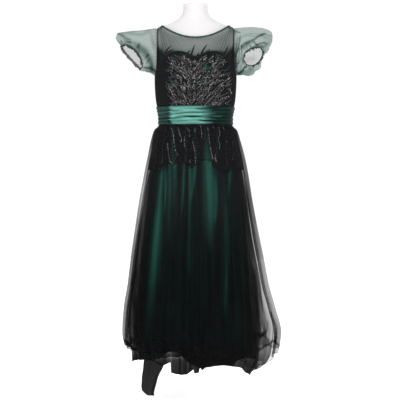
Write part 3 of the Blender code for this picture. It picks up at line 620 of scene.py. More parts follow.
base_lip = [(BASE_RADIUS - LIP * (1 - np.cos(a)), 0.005 + LIP * np.sin(a))
            for a in np.linspace(0, np.pi / 2, 7)]
base_profile = [(AXIS, 0), (0.163, 0), (0.1645, 0.0008), (BASE_RADIUS, 0.002), *base_lip,
                (0.030, 0.012), (0.024, 0.0145), (0.022, 0.018), (0.020, 0.029),
                (0.0195, BOSS_TOP), (AXIS, BOSS_TOP)]
pole_profile = [(AXIS, POLE_LOW), (POLE_RADIUS, POLE_LOW), (POLE_RADIUS, POLE_HIGH), (AXIS, POLE_HIGH)]
stand_base = turned("stand_base_turned", base_profile, enamel)
stand_pole = turned("stand_pole_turned", pole_profile, enamel, columns=48)
dress(stand_base, "stand_base", "stand_base")
dress(stand_pole, "stand_pole", "stand_pole")

# %% [markdown]
# Sheer cloth is a single surface whose Alpha says how much of it a thread covers. A fold seen
# from the side covers more, so each point of the mesh stores its cover: that of flat cloth, raised
# by how steeply the fold stands there. A second value, the shade, darkens the colour: partly the
# cloth's own darker parts, and partly a painted shade where the cloth lies doubled in a crease
# and low on the skirts. The material adds fine grain along the threads.

# %% Sheer cloth
def fold_density(points, plain, wrap, cover):
    """Cover of a sloping cloth: 1 - (1 - cover) to the power of 1 / cosine of its slope."""
    fine, mean = surface_normals(points, wrap), surface_normals(plain, wrap)
    cosine = np.clip(np.abs(np.sum(fine * mean, axis=-1)), 0.22, 1)
    return 1 - (1 - np.clip(cover, 0, 0.993)) ** (1 / cosine)


def sheer_finish(name, colour, dark, roughness, grain_size, grain_low, grain_high):
    """Cloth whose Alpha is its cover attribute to the power of a grain, and whose shade darkens it."""
    material, shader, add, join = start_finish(name, colour, roughness, 0.05)
    density = add("Attribute", attribute_name="cover")
    grain = stretched_noise(add, join, "UV", 1.0, grain_size, detail=4.0)
    spread = add("MapRange")
    spread.inputs["From Min"].default_value = 0.3
    spread.inputs["From Max"].default_value = 0.7
    spread.inputs["To Min"].default_value = grain_low
    spread.inputs["To Max"].default_value = grain_high
    join(grain, "Fac", spread, "Value")
    cover = add("Math", operation="POWER")
    cover.use_clamp = True
    join(density, "Fac", cover, 0)
    join(spread, "Result", cover, 1)
    join(cover, "Value", shader, "Alpha")
    shade = add("Attribute", attribute_name="shade")
    deep = ramp(add, join, shade, "Fac", [(0.0, colour), (1.0, dark)])
    join(deep, "Color", shader, "Base Color")
    return material


# %% [markdown]
# Every layer of the skirt is a ring around the body that widens downwards. Its table gives the
# mean sizes and how deep the folds are. A layer keeps inside the one outside it, so the reach
# of each is cut back where its table would come too near.

# %% Outline of the skirt
LAYER_CLEARANCE = 0.0014
SKIRT_ROUNDNESS = 2.06
SKIRT_TOP = 1.177
SKIRT_BAND = 1.165
SQUARE_FROM = 0.90
ROW_CROWDING = 1.44

OVER = table(
    "z left right front back fold",
    (1.177, 0.1560, 0.1560, 0.1123, 0.1044, 0.0000),
    (1.165, 0.1560, 0.1560, 0.1123, 0.1044, 0.0000),
    (1.146, 0.1740, 0.1740, 0.1290, 0.1230, 0.0020),
    (1.100, 0.1885, 0.1885, 0.1435, 0.1395, 0.0033),
    (1.030, 0.2020, 0.2060, 0.1570, 0.1560, 0.0055),
    (0.950, 0.2180, 0.2210, 0.1745, 0.1760, 0.0070),
    (0.850, 0.2360, 0.2350, 0.1940, 0.1960, 0.0090),
    (0.690, 0.2590, 0.2625, 0.2240, 0.2260, 0.0115),
    (0.585, 0.2725, 0.2835, 0.2410, 0.2430, 0.0130),
    (0.480, 0.2845, 0.3040, 0.2570, 0.2580, 0.0140),
    (0.380, 0.3000, 0.3325, 0.2720, 0.2730, 0.0150),
    (0.275, 0.3060, 0.3575, 0.2800, 0.2840, 0.0160),
    (0.225, 0.2985, 0.3530, 0.2760, 0.2820, 0.0150),
    (0.180, 0.2890, 0.3440, 0.2700, 0.2760, 0.0130),
    (0.110, 0.2850, 0.2980, 0.2680, 0.2740, 0.0110),
)
PEPLUM = table(
    "z left right front back fold",
    (1.177, 0.1534, 0.1534, 0.1097, 0.1018, 0.0000),
    (1.165, 0.1534, 0.1534, 0.1097, 0.1018, 0.0000),
    (1.146, 0.1700, 0.1700, 0.1250, 0.1190, 0.0008),
    (1.100, 0.1825, 0.1825, 0.1375, 0.1335, 0.0015),
    (1.030, 0.1920, 0.1940, 0.1480, 0.1470, 0.0024),
    (0.960, 0.2060, 0.2070, 0.1600, 0.1610, 0.0030),
)
UNDER = table(
    "z left right front back fold",
    (1.177, 0.1508, 0.1508, 0.1071, 0.0992, 0.0000),
    (1.165, 0.1508, 0.1508, 0.1071, 0.0992, 0.0000),
    (1.146, 0.1660, 0.1660, 0.1210, 0.1150, 0.0008),
    (1.100, 0.1775, 0.1775, 0.1325, 0.1285, 0.0015),
    (1.030, 0.1860, 0.1870, 0.1410, 0.1400, 0.0024),
    (0.894, 0.2090, 0.2090, 0.1680, 0.1700, 0.0040),
    (0.690, 0.2360, 0.2360, 0.2030, 0.2050, 0.0070),
    (0.480, 0.2580, 0.2740, 0.2270, 0.2290, 0.0090),
    (0.275, 0.2720, 0.2950, 0.2500, 0.2540, 0.0110),
    (0.225, 0.2720, 0.3160, 0.2530, 0.2570, 0.0120),
    (0.198, 0.2760, 0.3280, 0.2560, 0.2600, 0.0120),
    (0.160, 0.2720, 0.3120, 0.2530, 0.2580, 0.0110),
    (0.115, 0.2600, 0.2640, 0.2430, 0.2480, 0.0090),
)
SATIN = table(
    "z left right front back fold",
    (1.177, 0.1482, 0.1482, 0.1045, 0.0966, 0.0000),
    (1.165, 0.1482, 0.1482, 0.1045, 0.0966, 0.0000),
    (1.146, 0.1620, 0.1620, 0.1170, 0.1110, 0.0008),
    (1.100, 0.1705, 0.1705, 0.1255, 0.1215, 0.0015),
    (1.030, 0.1780, 0.1780, 0.1330, 0.1310, 0.0030),
    (0.894, 0.1960, 0.1960, 0.1520, 0.1540, 0.0050),
    (0.690, 0.2110, 0.2110, 0.1740, 0.1780, 0.0080),
    (0.480, 0.2220, 0.2240, 0.1880, 0.1920, 0.0100),
    (0.275, 0.2310, 0.2350, 0.1980, 0.2040, 0.0120),
    (0.160, 0.2330, 0.2370, 0.2000, 0.2060, 0.0120),
)
OVER_HEM = table(
    "angle z",
    (0, 0.200), (30, 0.190), (60, 0.215), (90, 0.195), (120, 0.210), (150, 0.200),
    (180, 0.222), (210, 0.205), (240, 0.215), (270, 0.200), (300, 0.215), (330, 0.195), (360, 0.200),
)
UNDER_HEM = table(
    "angle z",
    (0, 0.135), (25, 0.120), (45, 0.126), (60, 0.140), (75, 0.150), (90, 0.135), (105, 0.128),
    (115, 0.132), (130, 0.165), (150, 0.168), (180, 0.146), (210, 0.140), (240, 0.130),
    (270, 0.140), (300, 0.130), (330, 0.140), (360, 0.135),
)
PEPLUM_HEM = table(
    "angle z",
    (0, 0.975), (20, 0.965), (45, 0.960), (60, 0.985), (75, 0.992), (90, 0.976), (105, 0.990),
    (120, 0.980), (140, 0.992), (160, 0.965), (180, 0.975), (200, 0.965), (225, 0.985),
    (250, 0.970), (270, 0.985), (290, 0.968), (315, 0.985), (340, 0.968), (360, 0.975),
)
SATIN_HEM = table(
    "angle z",
    (0, 0.165), (40, 0.155), (65, 0.157), (85, 0.160), (105, 0.178), (125, 0.183), (150, 0.173),
    (180, 0.162), (270, 0.165), (360, 0.165),
)


def ring_reach(outline, outside, height):
    """A layer's sizes at a height, held inside the layer that is outside it."""
    sizes = {key: read(outline, key, height) for key in ("left", "right", "front", "back", "fold")}
    if outside is None:
        return sizes
    limit = outside(height)
    apart = limit["fold"] + sizes["fold"] + WALL + LAYER_CLEARANCE
    for key in ("left", "right", "front", "back"):
        sizes[key] = np.minimum(sizes[key], limit[key] - apart)
    return sizes


def over_reach(height):
    """Sizes of the outer tulle."""
    return ring_reach(OVER, None, height)


def peplum_reach(height):
    """Sizes of the lace peplum."""
    return ring_reach(PEPLUM, over_reach, height)


def under_reach(height):
    """Sizes of the under tulle."""
    beside = ring_reach(UNDER, over_reach, height)
    inside = ring_reach(UNDER, peplum_reach, height)
    below_peplum = height < PEPLUM["z"][0]
    return {key: np.where(below_peplum, beside[key], inside[key]) for key in beside}


def satin_reach(height):
    """Sizes of the satin skirt."""
    return ring_reach(SATIN, under_reach, height)


def ring_angle(turn):
    """The angle at a turn, with points a little closer together where the skirt bends most."""
    return 2 * np.pi * turn + 0.11 * np.sin(4 * np.pi * turn) + 0.035 * np.sin(12 * np.pi * turn)


def ring_around(reach, turn, height, wave):
    """Points of a layer: a superellipse pushed outwards by a wave."""
    angle = ring_angle(turn)
    size = reach(height)
    squareness = np.clip((height - SQUARE_FROM) / (SKIRT_BAND - SQUARE_FROM), 0, 1)
    power = 2 / (SKIRT_ROUNDNESS + (TORSO_ROUNDNESS - SKIRT_ROUNDNESS) * squareness)
    cosine, sine = np.cos(angle), np.sin(angle)
    width = np.where(cosine > 0, size["right"], size["left"])
    depth = np.where(sine > 0, size["front"], size["back"])
    out_x, out_y = cosine / width, -sine / depth
    length = np.hypot(out_x, out_y)
    x = width * signed_power(cosine, power) + wave * out_x / length
    y = -depth * signed_power(sine, power) + wave * out_y / length
    return np.stack([x, y, height], axis=-1)


def skirt_layer(reach, hem, seen_hem, folds, phase, columns, rows, hem_wave, fine):
    """A layer's points and the same without folds.

    The wave is the table's fold depth times the cosine of the fold count, plus a fine wave that
    the caller gives for each turn and height. Rows lie closer together towards the hem. The front
    of the hem follows the line of places that the camera should see.
    """
    turn = np.arange(columns) / columns
    hem_height = np.interp(np.degrees(ring_angle(turn)) % 360, hem["angle"], hem["z"])
    edge = ring_around(reach, turn, hem_height, 0 * turn)
    line = np.array(seen_hem, dtype=float)
    seen_x, _ = seen(edge)
    placed = unseen(seen_x, np.interp(seen_x, line[:, 0], line[:, 1]), edge[:, 1])[:, 2]
    facing = smooth_step(-edge[:, 1], -0.01, 0.03)
    hem_height = hem_height + facing * (placed - hem_height) + (1 - 0.7 * facing) * hem_wave(turn)
    share = np.linspace(0, 1, rows)[:, None]
    share = share * (ROW_CROWDING - (ROW_CROWDING - 1) * share)
    height = SKIRT_TOP + share * (hem_height - SKIRT_TOP)
    depth_of_fold = 0.80 + 0.20 * np.cos(6 * np.pi * turn + phase)
    main = reach(height)["fold"] * depth_of_fold * np.cos(2 * np.pi * folds * turn)
    points = ring_around(reach, turn, height, main + fine(turn, height, share))
    plain = ring_around(reach, turn, height, 0 * main)
    return points, plain, share


# %% [markdown]
# The satin skirt shines in long soft folds, and everything above it is seen against that shine.
# Its colour alone would look flat through two veils, so a value on the mesh, the shine, says how
# far each fold turns towards the light. The strokes below are its folds from the hip down.

# %% Satin skirt
def satin_finish(name, dark, bright, roughness, specular, streaks, bump, metallic=0.0):
    """Glossy cloth: its shine attribute and a streaky grain pick a colour from dark to bright."""
    material, shader, add, join = start_finish(name, bright, roughness, specular, metallic)
    grain = stretched_noise(add, join, "UV", 1.0, streaks, detail=5.0)
    shine = add("Attribute", attribute_name="shine")
    around_half = add("Math", operation="SUBTRACT")
    around_half.inputs[1].default_value = 0.5
    join(grain, "Fac", around_half, 0)
    total = add("Math", operation="MULTIPLY_ADD")
    total.inputs[1].default_value = 0.7
    join(around_half, "Value", total, 0)
    join(shine, "Fac", total, 2)
    middle = tuple(0.45 * a + 0.55 * b for a, b in zip(dark, bright))
    tone = ramp(add, join, total, "Value", [(0.0, dark), (0.5, middle), (1.0, bright)])
    join(tone, "Color", shader, "Base Color")
    add_bump(add, join, grain, "Fac", shader, 0.4, bump)
    return material


SATIN_SHINE = [
    [(-99, 1170, 9.5, 0.7), (-97, 1002, 11.2, 0.7)],
    [(-41, 1152, 6.4, 0.45), (-41, 1015, 6.4, 0.5)],
    [(2, 1152, 6.4, 0.45), (6, 1023, 8.6, 0.6)],
    [(41, 1144, 8.6, 0.6), (52, 1023, 17.2, 0.9)],
    [(148, 1152, 8.6, 0.4), (153, 1015, 8.6, 0.5)],
    [(-140, 1122, 5.2, 0.3), (-144, 993, 6.4, 0.5)],
    [(-144, 972, 6.9, 0.85), (-153, 864, 9.5, 0.85), (-163, 748, 17.2, 0.9), (-176, 628, 21.5, 1.0),
     (-187, 520, 19.3, 1.0), (-198, 413, 17.2, 0.9), (-210, 305, 15, 0.75), (-218, 189, 12.9, 0.5)],
    [(-130, 968, 3.9, 0.7), (-129, 886, 3.9, 0.85), (-131, 808, 3.4, 0.4)],
    [(-112, 989, 4.3, 0.6), (-110, 907, 5.2, 0.6), (-112, 791, 5.2, 0.4), (-114, 671, 6.4, 0.15)],
    [(-90, 993, 8.6, 0.6), (-90, 920, 8.6, 0.35), (-95, 821, 8.6, 0.1)],
    [(-49, 989, 5.6, 0.75), (-54, 886, 6.4, 0.8), (-60, 796, 4.3, 0.6)],
    [(-24, 989, 6.9, 0.75), (-24, 886, 6.9, 0.6), (-26, 778, 6.4, 0.45), (-29, 649, 6, 0.3),
     (-28, 542, 10.8, 0.2)],
    [(-2, 989, 9.5, 0.95), (-9, 920, 8.6, 0.7), (-19, 843, 5.6, 0.5)],
    [(54, 1015, 17.2, 0.95), (58, 950, 21.5, 0.95), (64, 864, 23.6, 0.9), (64, 778, 21.5, 0.75),
     (60, 705, 15, 0.5), (60, 641, 8.6, 0.2)],
    [(86, 929, 6.4, 0.5), (92, 843, 6.4, 0.6), (84, 748, 5.2, 0.4)],
    [(150, 972, 7.7, 0.7), (146, 920, 6.9, 0.55), (138, 864, 6, 0.2)],
    [(129, 830, 8.6, 0.15), (133, 735, 8.6, 0.35), (138, 628, 8.6, 0.35), (135, 542, 8.6, 0.3),
     (131, 477, 6.9, 0.55), (127, 391, 5.6, 0.6), (131, 322, 2.6, 0.2)],
    [(196, 963, 6.4, 0.12), (200, 843, 6.9, 0.3), (206, 671, 7.7, 0.4), (211, 542, 8.6, 0.3),
     (217, 413, 6.9, 0.12)],
    [(-41, 305, 21.5, 0.15), (-49, 198, 21.5, 0.2)],
    [(183, 370, 21.5, 0.12), (183, 219, 21.5, 0.15)],
]
SATIN_SEEN_HEM = [
    (-247, 155), (-196, 150), (-153, 159), (-114, 189), (-88, 187), (-54, 163), (-24, 138),
    (6, 120), (32, 116), (58, 129), (114, 131), (174, 129), (191, 155), (217, 172), (239, 181),
]
skirt_satin = satin_finish("skirt_satin", (7, 28, 25), (55, 128, 112), 0.5, 0.08, (170, 3, 1), 0.0010)


def satin_folds(turn, height, share):
    """Soft irregular folds that deepen towards the hem."""
    fall = smooth_step(SKIRT_BAND - height, 0.0, 0.5)
    return (0.0020 * gathers(turn, 31, 11, 0.15 * share) * fall
            + 0.0007 * gathers(turn, 74, 12, 0.1 * share) * smooth_step(SKIRT_BAND - height, 0.0, 0.05))


satin_points, _, _ = skirt_layer(satin_reach, SATIN_HEM, SATIN_SEEN_HEM, 14, 3.0, 480, 52,
                                 lambda turn: 0.003 * ring_noise(turn, 13, 3, 20), satin_folds)
satin_shine = 0.08 + drawn(satin_points, SATIN_SHINE)
satin_skirt = make_surface("satin_skirt", satin_points, skirt_satin, wrap=True,
                           values={"shine": np.clip(satin_shine, 0, 1)})
add_thickness(satin_skirt, WALL)
dress(satin_skirt, "skirt_satin", "satin_skirt_front", "satin_skirt_back")

# %% [markdown]
# Tulle is a fine net, gathered so hard at the waist that it turns black there, and spreading to
# a grey veil at the sides. Real gathers are hundreds of small folds that merge on their way down.
# Here a fine wave dies out with the distance from the waist while a broader one grows. Strokes
# add the places where the net lies in thick folds, which cover more and carry a painted shade,
# and those where it opens. Lower down, the colour takes a painted shade as well.

# %% Tulle skirts
def tulle_folds(seed, many, few, fine_depth, broad_depth):
    """Fine gathers at the waist that hand over to broad folds below."""
    def wave(turn, height, share):
        below = SKIRT_BAND - height
        start = smooth_step(below, 0.0, 0.03)
        meander = 0.10 * np.sin(5 * share + 3 * ring_noise(turn, seed + 5, 2, 9))
        fine = gathers(turn, many, seed, meander) * fine_depth * start
        fine = fine * (1 - 0.85 * smooth_step(below, 0.1, 0.7))
        broad = gathers(turn, few, seed + 1, meander) * broad_depth * smooth_step(below, 0.02, 0.6)
        soft = ring_noise(turn, seed + 2, 5, 23) * broad_depth * smooth_step(below, 0.1, 0.9)
        return fine + broad + soft
    return wave


THICK_FOLDS = [
    [(-71, 1015, 6.9, 0.4), (-71, 843, 8.6, 0.4), (-82, 628, 12.9, 0.35), (-92, 413, 17.2, 0.3)],
    [(-37, 1015, 4.3, 0.35), (-39, 843, 4.3, 0.35), (-41, 671, 8.6, 0.3)],
    [(17, 1006, 10.3, 0.4), (17, 843, 10.8, 0.35), (19, 671, 8.6, 0.2)],
    [(103, 963, 7.7, 0.5), (103, 800, 8.6, 0.5), (95, 628, 12.9, 0.5), (84, 456, 17.2, 0.45),
     (62, 284, 25.8, 0.35)],
    [(-191, 1015, 12.9, 0.4), (-204, 843, 12.9, 0.4), (-224, 671, 12, 0.3), (-232, 542, 11, 0.2)],
    [(174, 980, 12.9, 0.3), (174, 843, 12.9, 0.3), (170, 628, 10.8, 0.25), (166, 413, 12.9, 0.2)],
    [(-135, 778, 6.4, 0.3), (-140, 585, 8.6, 0.35), (-153, 413, 12.9, 0.35)],
    [(-160, 790, 14, -0.25), (-168, 700, 19, -0.35), (-178, 600, 20, -0.3), (-190, 490, 17, -0.2)],
    [(-192, 903, 2.6, -0.3), (-194, 843, 3, -0.35), (-200, 783, 2.6, -0.15)],
    [(204, 1006, 2.1, -0.3), (215, 929, 3, -0.45), (221, 843, 3, -0.35), (224, 735, 2.6, -0.15)],
    [(-236, 864, 2.1, 0.5), (-245, 821, 2.1, 0.4), (-252, 735, 2.1, 0.3)],
    [(-261, 550, 2.2, 0.4), (-276, 473, 2.2, 0.4), (-269, 413, 2.2, 0.4), (-289, 340, 2.2, 0.35),
     (-295, 258, 2.6, 0.3)],
    [(309, 514, 2.1, 0.4), (329, 473, 2.1, 0.4), (348, 434, 2.1, 0.3)],
    [(320, 361, 2.1, 0.3), (333, 331, 2.1, 0.35), (353, 297, 2.1, 0.35), (343, 247, 2.1, 0.35)],
    [(274, 445, 2.6, 0.6), (299, 341, 3, 0.6), (299, 287, 3, 0.6), (279, 247, 3.4, 0.6)],
    [(255, 376, 2.6, 0.4), (269, 327, 2.6, 0.5), (289, 302, 2.6, 0.4)],
    [(226, 576, 11, 0.5), (250, 520, 13, 0.6), (260, 473, 14, 0.6), (236, 426, 11, 0.5)],
]
HEM_BUNCHES = [
    [(247, 213, 5.2, 0.9), (274, 198, 6.4, 0.95), (294, 211, 4.3, 0.9), (323, 224, 3.9, 0.9),
     (333, 237, 3.4, 0.9), (346, 228, 3.9, 0.9), (363, 213, 4.3, 0.9), (373, 188, 3.4, 0.9)],
    [(312, 245, 2.1, 0.6), (329, 232, 3, 0.8)],
    [(346, 254, 2.1, 0.6), (344, 232, 3, 0.8)],
    [(-314, 241, 3.4, 0.7), (-295, 228, 6, 0.9), (-277, 206, 5.6, 0.9), (-264, 194, 5.2, 0.9),
     (-249, 185, 4.3, 0.8)],
    [(-307, 219, 2.6, 0.7), (-282, 219, 4.3, 0.8), (-260, 198, 4.3, 0.8)],
    [(-322, 284, 2.6, 0.5), (-316, 249, 3.4, 0.6), (-299, 224, 3.4, 0.7)],
]
OVER_SEEN_HEM = [
    (-320, 228), (-290, 211), (-256, 189), (-196, 176), (-131, 189), (-67, 172), (-2, 163),
    (84, 155), (170, 158), (204, 146), (236, 122), (256, 118), (286, 122), (312, 131),
    (325, 148), (342, 176), (359, 189), (376, 183),
]
UNDER_SEEN_HEM = [
    (-307, 215), (-286, 176), (-269, 146), (-247, 159), (-217, 157), (-170, 146), (-140, 129),
    (-111, 142), (-110, 97), (-84, 90), (-62, 88), (-37, 92), (-9, 110), (-6, 94),
    (15, 98), (17, 122), (28, 107), (41, 122), (84, 125), (127, 127),
    (176, 123), (204, 106), (230, 93), (242, 82), (245, 110), (269, 112), (295, 121),
    (312, 129), (325, 146), (342, 176), (359, 189), (376, 185),
]
OVER_COVER = table(
    "z middle side left right",
    (100, 0.46, 0.55, 0.62, 0.46), (200, 0.46, 0.55, 0.58, 0.48), (260, 0.45, 0.52, 0.54, 0.46),
    (400, 0.38, 0.50, 0.52, 0.39), (540, 0.33, 0.50, 0.55, 0.40), (700, 0.29, 0.50, 0.48, 0.47),
    (850, 0.27, 0.47, 0.35, 0.60), (1000, 0.24, 0.58, 0.42, 0.55), (1150, 0.30, 0.85, 0.70, 0.70),
    (1175, 0.80, 0.90, 0.90, 0.90),
)
UNDER_COVER = table(
    "z middle side left right",
    (90, 0.986, 0.98, 0.95, 0.85), (150, 0.98, 0.96, 0.91, 0.66), (190, 0.78, 0.90, 0.70, 0.54),
    (260, 0.45, 0.88, 0.54, 0.46), (400, 0.36, 0.84, 0.56, 0.46), (540, 0.31, 0.66, 0.56, 0.56),
    (700, 0.25, 0.62, 0.60, 0.70), (850, 0.23, 0.62, 0.60, 0.75), (1000, 0.22, 0.76, 0.62, 0.80),
    (1150, 0.28, 0.80, 0.80, 0.80),
    (1175, 0.60, 0.85, 0.85, 0.85),
)
DARK_BAND = table("z width", (100, 0.018), (280, 0.029), (410, 0.037), (540, 0.018), (700, 0.010),
                  (900, 0.004))
SHADE_HEIGHTS = (0.55, 1.00)
tulle_finish = sheer_finish("black_tulle", (34, 33, 35), (6, 6, 7), 0.85, (900, 6, 1), 0.75, 1.30)


def cover_across(points, covers):
    """Cover over the satin, in the dark band beside it and out at the edge on each hand."""
    x, z = seen(points)
    satin = satin_reach(np.clip(points[..., 2], SATIN["z"].min(), SATIN["z"].max()))
    rightward = points[..., 0] > 0
    past = np.abs(points[..., 0]) - np.where(rightward, satin["right"], satin["left"])
    edge = np.where(rightward, read(covers, "right", z), read(covers, "left", z))
    cover = read(covers, "middle", z)
    cover = cover + (read(covers, "side", z) - cover) * smooth_step(past, -0.022, 0.002)
    band = read(DARK_BAND, "width", z)
    return cover + (edge - cover) * smooth_step(past, band, band + 0.015)


def add_tulle(name, layer, covers, strokes, seed):
    """One tulle skirt: its cover from the table, strokes and noise along the threads."""
    points, plain, share = layer
    turn = np.arange(points.shape[1]) / points.shape[1]
    thread = 1 + 0.12 * ring_noise(turn, seed, 6, 44) + 0.07 * ring_noise(turn, seed + 1, 60, 140)
    thick = drawn(points, strokes)
    cover = 1 - (1 - cover_across(points, covers)) ** thread
    cover = cover + thick * np.where(thick > 0, 1 - cover, cover)
    rolled_hem = 0.5 * smooth_step(share, 0.993, 1.0)
    cover = cover + rolled_hem * (1 - cover)
    density = fold_density(points, plain, True, np.clip(cover, 0.05, 0.992))
    # The shade is a painted shade: darker lower down the skirt, in the thick folds and at the rolled hem.
    low = 0.85 * (1 - smooth_step(points[..., 2], *SHADE_HEIGHTS)) + rolled_hem
    piece = make_surface(name, points, tulle_finish, wrap=True,
                         values={"cover": density, "shade": np.clip(np.maximum(low, thick), 0, 1)})
    dress(piece, "tulle", name + "_front", name + "_back")
    print(name, "cover from", round(float(density.min()), 2), "to", round(float(density.max()), 2))
    return piece


under_layer = skirt_layer(under_reach, UNDER_HEM, UNDER_SEEN_HEM, 14, 2.3, 640, 104,
                          lambda turn: 0.003 * ring_noise(turn, 23, 5, 40),
                          tulle_folds(21, 90, 37, 0.0012, 0.0030))
tulle_under = add_tulle("tulle_under", under_layer, UNDER_COVER, THICK_FOLDS[:8], 24)
over_layer = skirt_layer(over_reach, OVER_HEM, OVER_SEEN_HEM, 20, 0.4, 680, 132,
                         lambda turn: 0.003 * ring_noise(turn, 33, 5, 50),
                         tulle_folds(31, 104, 41, 0.0015, 0.0040))
tulle_over = add_tulle("tulle_over", over_layer, OVER_COVER, THICK_FOLDS + HEM_BUNCHES, 34)

# %% [markdown]
# The bodice is a sheer net worn over a strapless green underbodice. Above the heart-shaped edge
# the white form shows through a green-black net, which makes the yoke look grey. Lower down the
# net is black and thick with lace, save for a few windows where the green satin shows, and the
# sides of the bodice are plain. One field of cover, given over the whole net, says all of this.

# %% Net bodice
NET_ROWS = np.linspace(0, 1, 111)
ZIP_EDGE = 0.0028
PANELS = (("front", -1, 0, 1), ("back_right", 1, 0, 0.5), ("back_left", 1, 0.5, 1))
BODICE_WINDOWS = [
    [(-103, 1458, 6.9, 0.5), (-90, 1445, 6.9, 0.5)],
    [(-105, 1415, 7.7, 0.5), (-84, 1410, 6.9, 0.5)],
    [(-110, 1359, 7.3, 0.5), (-99, 1342, 6.9, 0.5)],
    [(-86, 1359, 5.2, 0.45), (-88, 1337, 5.2, 0.45)],
    [(19, 1436, 9.5, 0.5), (45, 1419, 8.6, 0.5)],
    [(32, 1402, 8.6, 0.5), (67, 1410, 7.7, 0.5)],
    [(19, 1354, 8.6, 0.5), (58, 1359, 7.7, 0.5)],
    [(37, 1277, 6, 0.4), (54, 1268, 5.2, 0.4)],
    [(75, 1471, 3, 0.35), (73, 1428, 3, 0.35)],
    [(88, 1475, 3, 0.35), (86, 1419, 3, 0.35)],
    [(101, 1471, 3, 0.3), (99, 1419, 3, 0.25)],
]
YOKE_FOLDS = [
    [(-146, 1565, 3.9, 0.6), (-153, 1522, 5.2, 0.5), (-155, 1479, 6.4, 0.6)],
    [(-135, 1570, 3, 0.55), (-140, 1522, 3.9, 0.5), (-144, 1479, 5.2, 0.5)],
    [(-129, 1565, 2.6, 0.5), (-127, 1522, 3.4, 0.4), (-125, 1488, 4.3, 0.3)],
    [(-118, 1557, 2.6, 0.45), (-110, 1526, 3, 0.35), (-105, 1501, 3.4, 0.2)],
    [(-105, 1548, 2.6, 0.3), (-92, 1522, 3, 0.2)],
    [(155, 1570, 3.9, 0.6), (157, 1522, 5.2, 0.5), (157, 1479, 6.4, 0.6)],
    [(148, 1570, 2.6, 0.6), (144, 1522, 3.4, 0.5), (140, 1479, 4.7, 0.5)],
    [(142, 1565, 2.6, 0.55), (131, 1522, 3, 0.5), (123, 1484, 3.9, 0.4)],
    [(135, 1561, 2.6, 0.5), (118, 1526, 3, 0.45), (105, 1492, 3.4, 0.3)],
    [(127, 1552, 2.6, 0.45), (105, 1522, 3, 0.4), (92, 1496, 3.4, 0.2)],
    [(116, 1546, 2.6, 0.35), (92, 1518, 3, 0.3), (80, 1496, 3, 0.15)],
    [(101, 1539, 2.1, 0.25), (75, 1509, 2.6, 0.2)],
]

net_finish = sheer_finish("bodice_net", (40, 66, 59), (24, 25, 26), 0.85, (110, 110, 1), 0.70, 1.35)


def yoke_wrinkles(points):
    """Fine wrinkles that fan out from the shoulders: cosines of the angle around each shoulder."""
    x, z = points[..., 0], points[..., 2]
    fan = np.arctan2(z - 1.63, np.abs(x) - 0.160)
    wrinkle = np.cos(115 * fan + 4 * np.sin(9 * fan) + 2 * np.sign(x)) + 0.6 * np.cos(71 * fan + 30 * x)
    near = np.exp(-((np.abs(x) - 0.115) / 0.045) ** 2) * smooth_step(z, 1.44, 1.50)
    return wrinkle * near


def net_values(points, side):
    """The net's cover and shade: sheer over the yoke, thick with lace below, plain at the sides."""
    x, z = np.abs(points[..., 0]), points[..., 2]
    half = read(TORSO, "half", z)
    folds = 0.45 * drawn(points, YOKE_FOLDS) + 0.45 * np.clip(yoke_wrinkles(points), -0.3, 2)
    folds = np.clip(folds, 0, 1)
    shoulder = smooth_step(x, 0.075, 0.150)
    cover = 0.52 - 0.02 * shoulder
    cover = cover + folds * (0.95 - cover)
    armhole = smooth_step(x / half, 0.945, 0.975) * smooth_step(z, 1.36, 1.40)
    cover = np.maximum(cover, 0.93 * armhole)
    if side < 0:
        below_edge = smooth_step(read(SWEETHEART, "z", x) - z, -0.007, 0.003)
        windows = np.clip(stroke_field(*seen(points), BODICE_WINDOWS), 0, 0.6)
        below = 0.92 - 0.04 * smooth_step(z, 1.33, 1.42) - 0.85 * windows
    else:
        below_edge = smooth_step(LINING_BACK_TOP - z, -0.004, 0.010)
        below = 0.90
    side_panel = smooth_step(x, 0.108, 0.130) * (1 - smooth_step(z - 1.1 * (x - 0.125), 1.445, 1.505))
    cover = cover + below_edge * (below - cover)
    cover = np.maximum(cover, 0.985 * side_panel)
    # The shade darkens the lace below the edge and the sides, and paints shade into the yoke's folds and
    # wrinkles.
    shade = np.clip(np.maximum(np.maximum(below_edge, side_panel), 0.8 * folds), 0, 1)
    return np.clip(cover, 0, 0.985), shade


def panel_columns(first, last, steps):
    """A panel's columns, of the 18 between the side seams, which are divided into equal steps."""
    return np.linspace(0, 18, steps + 1)[int(first * steps):int(last * steps) + 1]


def beside_zip(points):
    """Holds half of the back off the zip's tape, on its own side."""
    middle = points.shape[1] // 2
    side = np.sign(points[:, middle:middle + 1, 0])
    points[..., 0] = side * np.maximum(np.abs(points[..., 0]), ZIP_EDGE)


for label, side, first, last in PANELS:
    points = bodice_grid(side, panel_columns(first, last, 180), NET_ROWS)
    out = outward_normals(points, wrap=False)
    points = points + 0.00025 * yoke_wrinkles(points)[..., None] * out
    if side > 0:
        beside_zip(points)
    cover, shade = net_values(points, side)
    piece = make_surface("net_" + label, points, net_finish, outward=out,
                         values={"cover": cover, "shade": shade})
    dress(piece, "bodice_net", "bodice_" + label)

# %% [markdown]
# The underbodice is the same surface set inwards, cut off at its own top edge. Its satin is
# seen only in glimpses, so a thickness and soft streaks are enough.

# %% Underbodice
LINING_ROWS = 36
FINE_ROWS = 241
lining_satin = satin_finish("underbodice_satin", (10, 44, 36), (62, 128, 106), 0.5, 0.15, (40, 6, 1), 0.0008)

